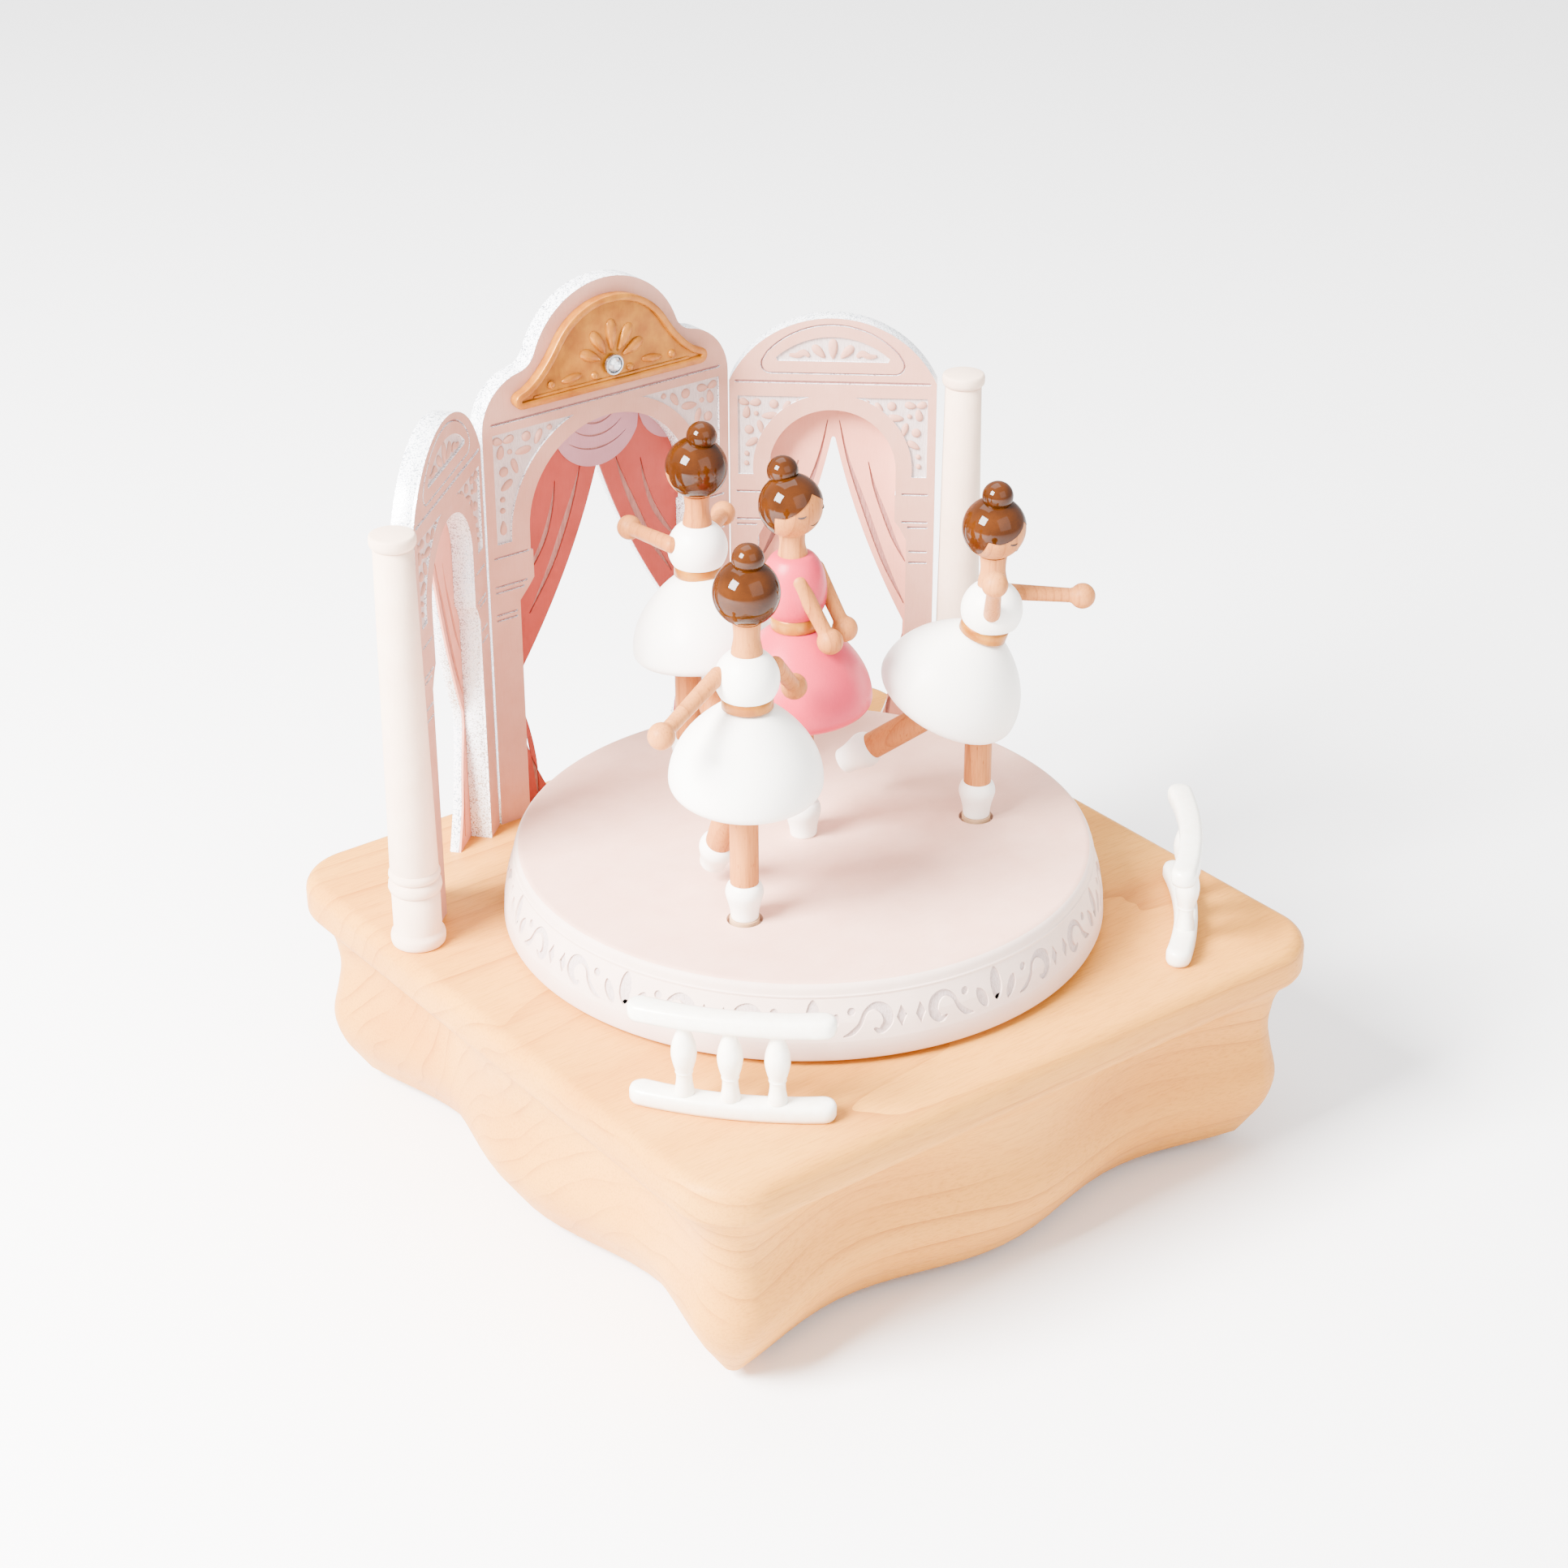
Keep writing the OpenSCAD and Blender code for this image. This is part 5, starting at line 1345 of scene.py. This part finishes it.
def orbit_place(name):
    """The deck point above a dancer's spindle."""
    low, high = mm_box(f"{name}_spindle")
    return shift((low.x + high.x) / 2, (low.y + high.y) / 2, DECK)


def make_dancer(name, d):
    """One of the three orbiting dancers on her own spindle."""
    place, body = orbit_place(name), f"{name}_dancer"
    aside = polar(d["aside"], WAIST_WAY)
    waist = Matrix.Translation(aside) @ shift(0, 0, d["waist"])
    skirt_frame = place @ waist @ turned(d["leg_way"] + 180) @ turned(d["skirt_lean"], "Y")
    torso_frame = place @ waist @ turned(d["facing"]) @ turned(d["torso_lean"], "Y")
    rise = -belt_cut(BODICE_R) + BELT_H
    lean = radians(d["torso_lean"])
    bodice = aside + polar(rise * sin(lean), d["facing"], d["waist"] + rise * cos(lean))

    leg = Piece(f"{name}_standing_leg")
    shoe, dowel = turned_leg(d["waist"] - 8 - SPINDLE_STAND)
    for part, paint in ((shoe, IVORY), (dowel, BEECH)):
        leg.add(part, paint, place @ shift(0, 0, SPINDLE_STAND))
    leg.finish(body, "beech", f"{name}_leg", sharp=50)

    drop = radians(d["leg_drop"])
    long = (d["foot"][0] - 6.4) / cos(drop) + 3.6
    foot = polar(d["foot"][0], d["leg_way"], d["foot"][1])
    leg_frame = (place @ Matrix.Translation(foot) @ turned(d["leg_way"]) @ turned(-90 + d["leg_drop"], "Y")
                 @ shift(0, 0, -5))
    raised = Piece(f"{name}_lifted_leg")
    shoe, dowel = turned_leg(long)
    for part, paint in ((shoe, IVORY), (dowel, BEECH)):
        raised.add(part, paint, leg_frame)
    raised.finish(body, "beech", f"{name}_raised_leg", sharp=50)

    skirt = Piece(f"{name}_bell_skirt").add(skirt_shape(SKIRT_R, SKIRT_H), IVORY, skirt_frame)
    skirt.finish(body, "ivory_paint", f"{name}_skirt", sharp=50)
    band = Piece(f"{name}_gold_band").add(waist_band(BELT_H, 0.22), GOLD, torso_frame)
    band.finish(body, "gold_paint", f"{name}_belt", sharp=50)

    top = Piece(f"{name}_bodice")
    painted, neck = torso_shape(BODICE_R)
    top.add(painted, IVORY, place @ Matrix.Translation(bodice))
    top.add(neck, BEECH, place @ Matrix.Translation(bodice))
    top.finish(body, "ivory_paint", f"{name}_torso", sharp=40)

    head = Piece(f"{name}_face_and_hair")
    centre = place @ Matrix.Translation(bodice + Vector((0, 0, HEAD_UP))) @ turned(d["face"])
    for part, paint, where in head_parts(d["nod"], d["bun"]):
        head.add(part, paint, centre @ where)
    head.finish(body, "hair_paint", f"{name}_head", sharp=45)

    arms = Piece(f"{name}_dowel_arms")
    for side, (reach, way, height) in zip((1, -1), d["hands"]):
        outward = d["facing"] + 90 * side
        off = (way - outward + 540) % 360 - 180
        shoulder = bodice + polar(BODICE_R - 0.4, outward + SHOULDER_DRAW * off, 1.6)
        part, frame_of_arm = arm_shape(shoulder, polar(reach, way, height))
        arms.add(part, BEECH, place @ frame_of_arm)
    arms.finish(body, "beech", f"{name}_arms", sharp=50)


BUST = [(5.1, 0), (5.65, 0.75), (6.1, 1.6), (6.5, 3), (6.7, 4.3), (6.76, 5.6), (6.6, 7.2), (6.25, 9),
        (5.6, 10.9), (4.6, 12.4), (3.9, 12.9), (3.15, 13.1)]


def make_solo():
    """The pink dancer who stands still in the middle of the stage, leaning a little from the foot."""
    facing, waist, belt_h, head_up = -65, 48.2, 3.0, 23.6
    chest = waist + belt_h
    place = shift(0, STAGE_Y, DECK) @ turned(143) @ turned(2, "Y") @ turned(facing - 143)
    leg = Piece("solo_standing_leg")
    for part, paint in zip(turned_leg(waist - 12), (IVORY, BEECH)):
        leg.add(part, paint, place)
    leg.finish("stage", "beech", "solo_leg", sharp=50)
    skirt = Piece("solo_bell_skirt").add(skirt_shape(SKIRT_R, SKIRT_H), PINK, place @ shift(0, 0, waist))
    skirt.finish("stage", "pink_paint", "solo_skirt", sharp=50)
    band = Piece("solo_gold_band").add(waist_band(belt_h, 0.2), GOLD, place @ shift(0, 0, waist))
    band.finish("stage", "gold_paint", "solo_belt", sharp=50)
    top = Piece("solo_bodice")
    top.add(spun([(0, 0)] + flowing(BUST, 3) + [(0, 13.1)], 56), PINK, place @ shift(0, 0, chest))
    neck = flowing([(3.1, 12.8), (2.95, 13.6), (2.65, 15), (2.6, 16.2), (2.75, 17.7)], 4)
    top.add(spun([(0, 12.8)] + neck + [(0, 17.7)], 40), BEECH, place @ shift(0, 0, chest))
    top.finish("stage", "pink_paint", "solo_torso", sharp=40)
    head = Piece("solo_face_and_hair")
    for part, paint, where in head_parts(0, (-1.77, 0, 6.94)):
        head.add(part, paint, place @ shift(0, 0, chest + head_up) @ turned(-11) @ where)
    head.finish("stage", "hair_paint", "solo_head", sharp=45)
    arms = Piece("solo_dowel_arms")
    for side in (1, -1):
        shoulder = polar(5, side * 50, chest + 8.8)
        part, frame_of_arm = arm_shape(shoulder, polar(10.1, side * 19, waist - 0.3))
        arms.add(part, BEECH, place @ frame_of_arm)
    arms.finish("stage", "beech", "solo_arms", sharp=50)


# ---------- finishes of the pieces kept from the CAD model ----------

KEPT = {
    BEECH: ["bottom_cover"],
    STEEL: ["cover_screws", "sun_gear_screws", "movement_screws", "comb", "governor_bracket", "hub_screws",
            "spring_barrel"],
    BRASS: ["stage_bearing", "sun_gear", "stage_hub", "music_cylinder", "movement_bedplate"],
    TAN: ["front_spindle", "right_spindle", "back_spindle", "governor_gear", "governor_fan"],
    RUBBER: ["rubber_feet"],
}


def finish_kept_pieces():
    """Gives every CAD node that still shows its own material."""
    for paint, names in KEPT.items():
        for name in names:
            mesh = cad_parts[name].data
            mesh.materials.clear()
            mesh.materials.append(paint)


make_camera()
make_studio()
make_base()
make_stage()
make_center_panel()
make_wing(-1, "left_board", "left_panel")
make_wing(1, "right_board", "right_panel")
make_center_curtain()
make_side_curtain(-1, "left_drape", "left_curtain")
make_side_curtain(1, "right_drape", "right_curtain")
make_pediment()
make_columns()
make_balustrades()
for dancer_name, pose in DANCERS.items():
    make_dancer(dancer_name, pose)
make_solo()
finish_kept_pieces()
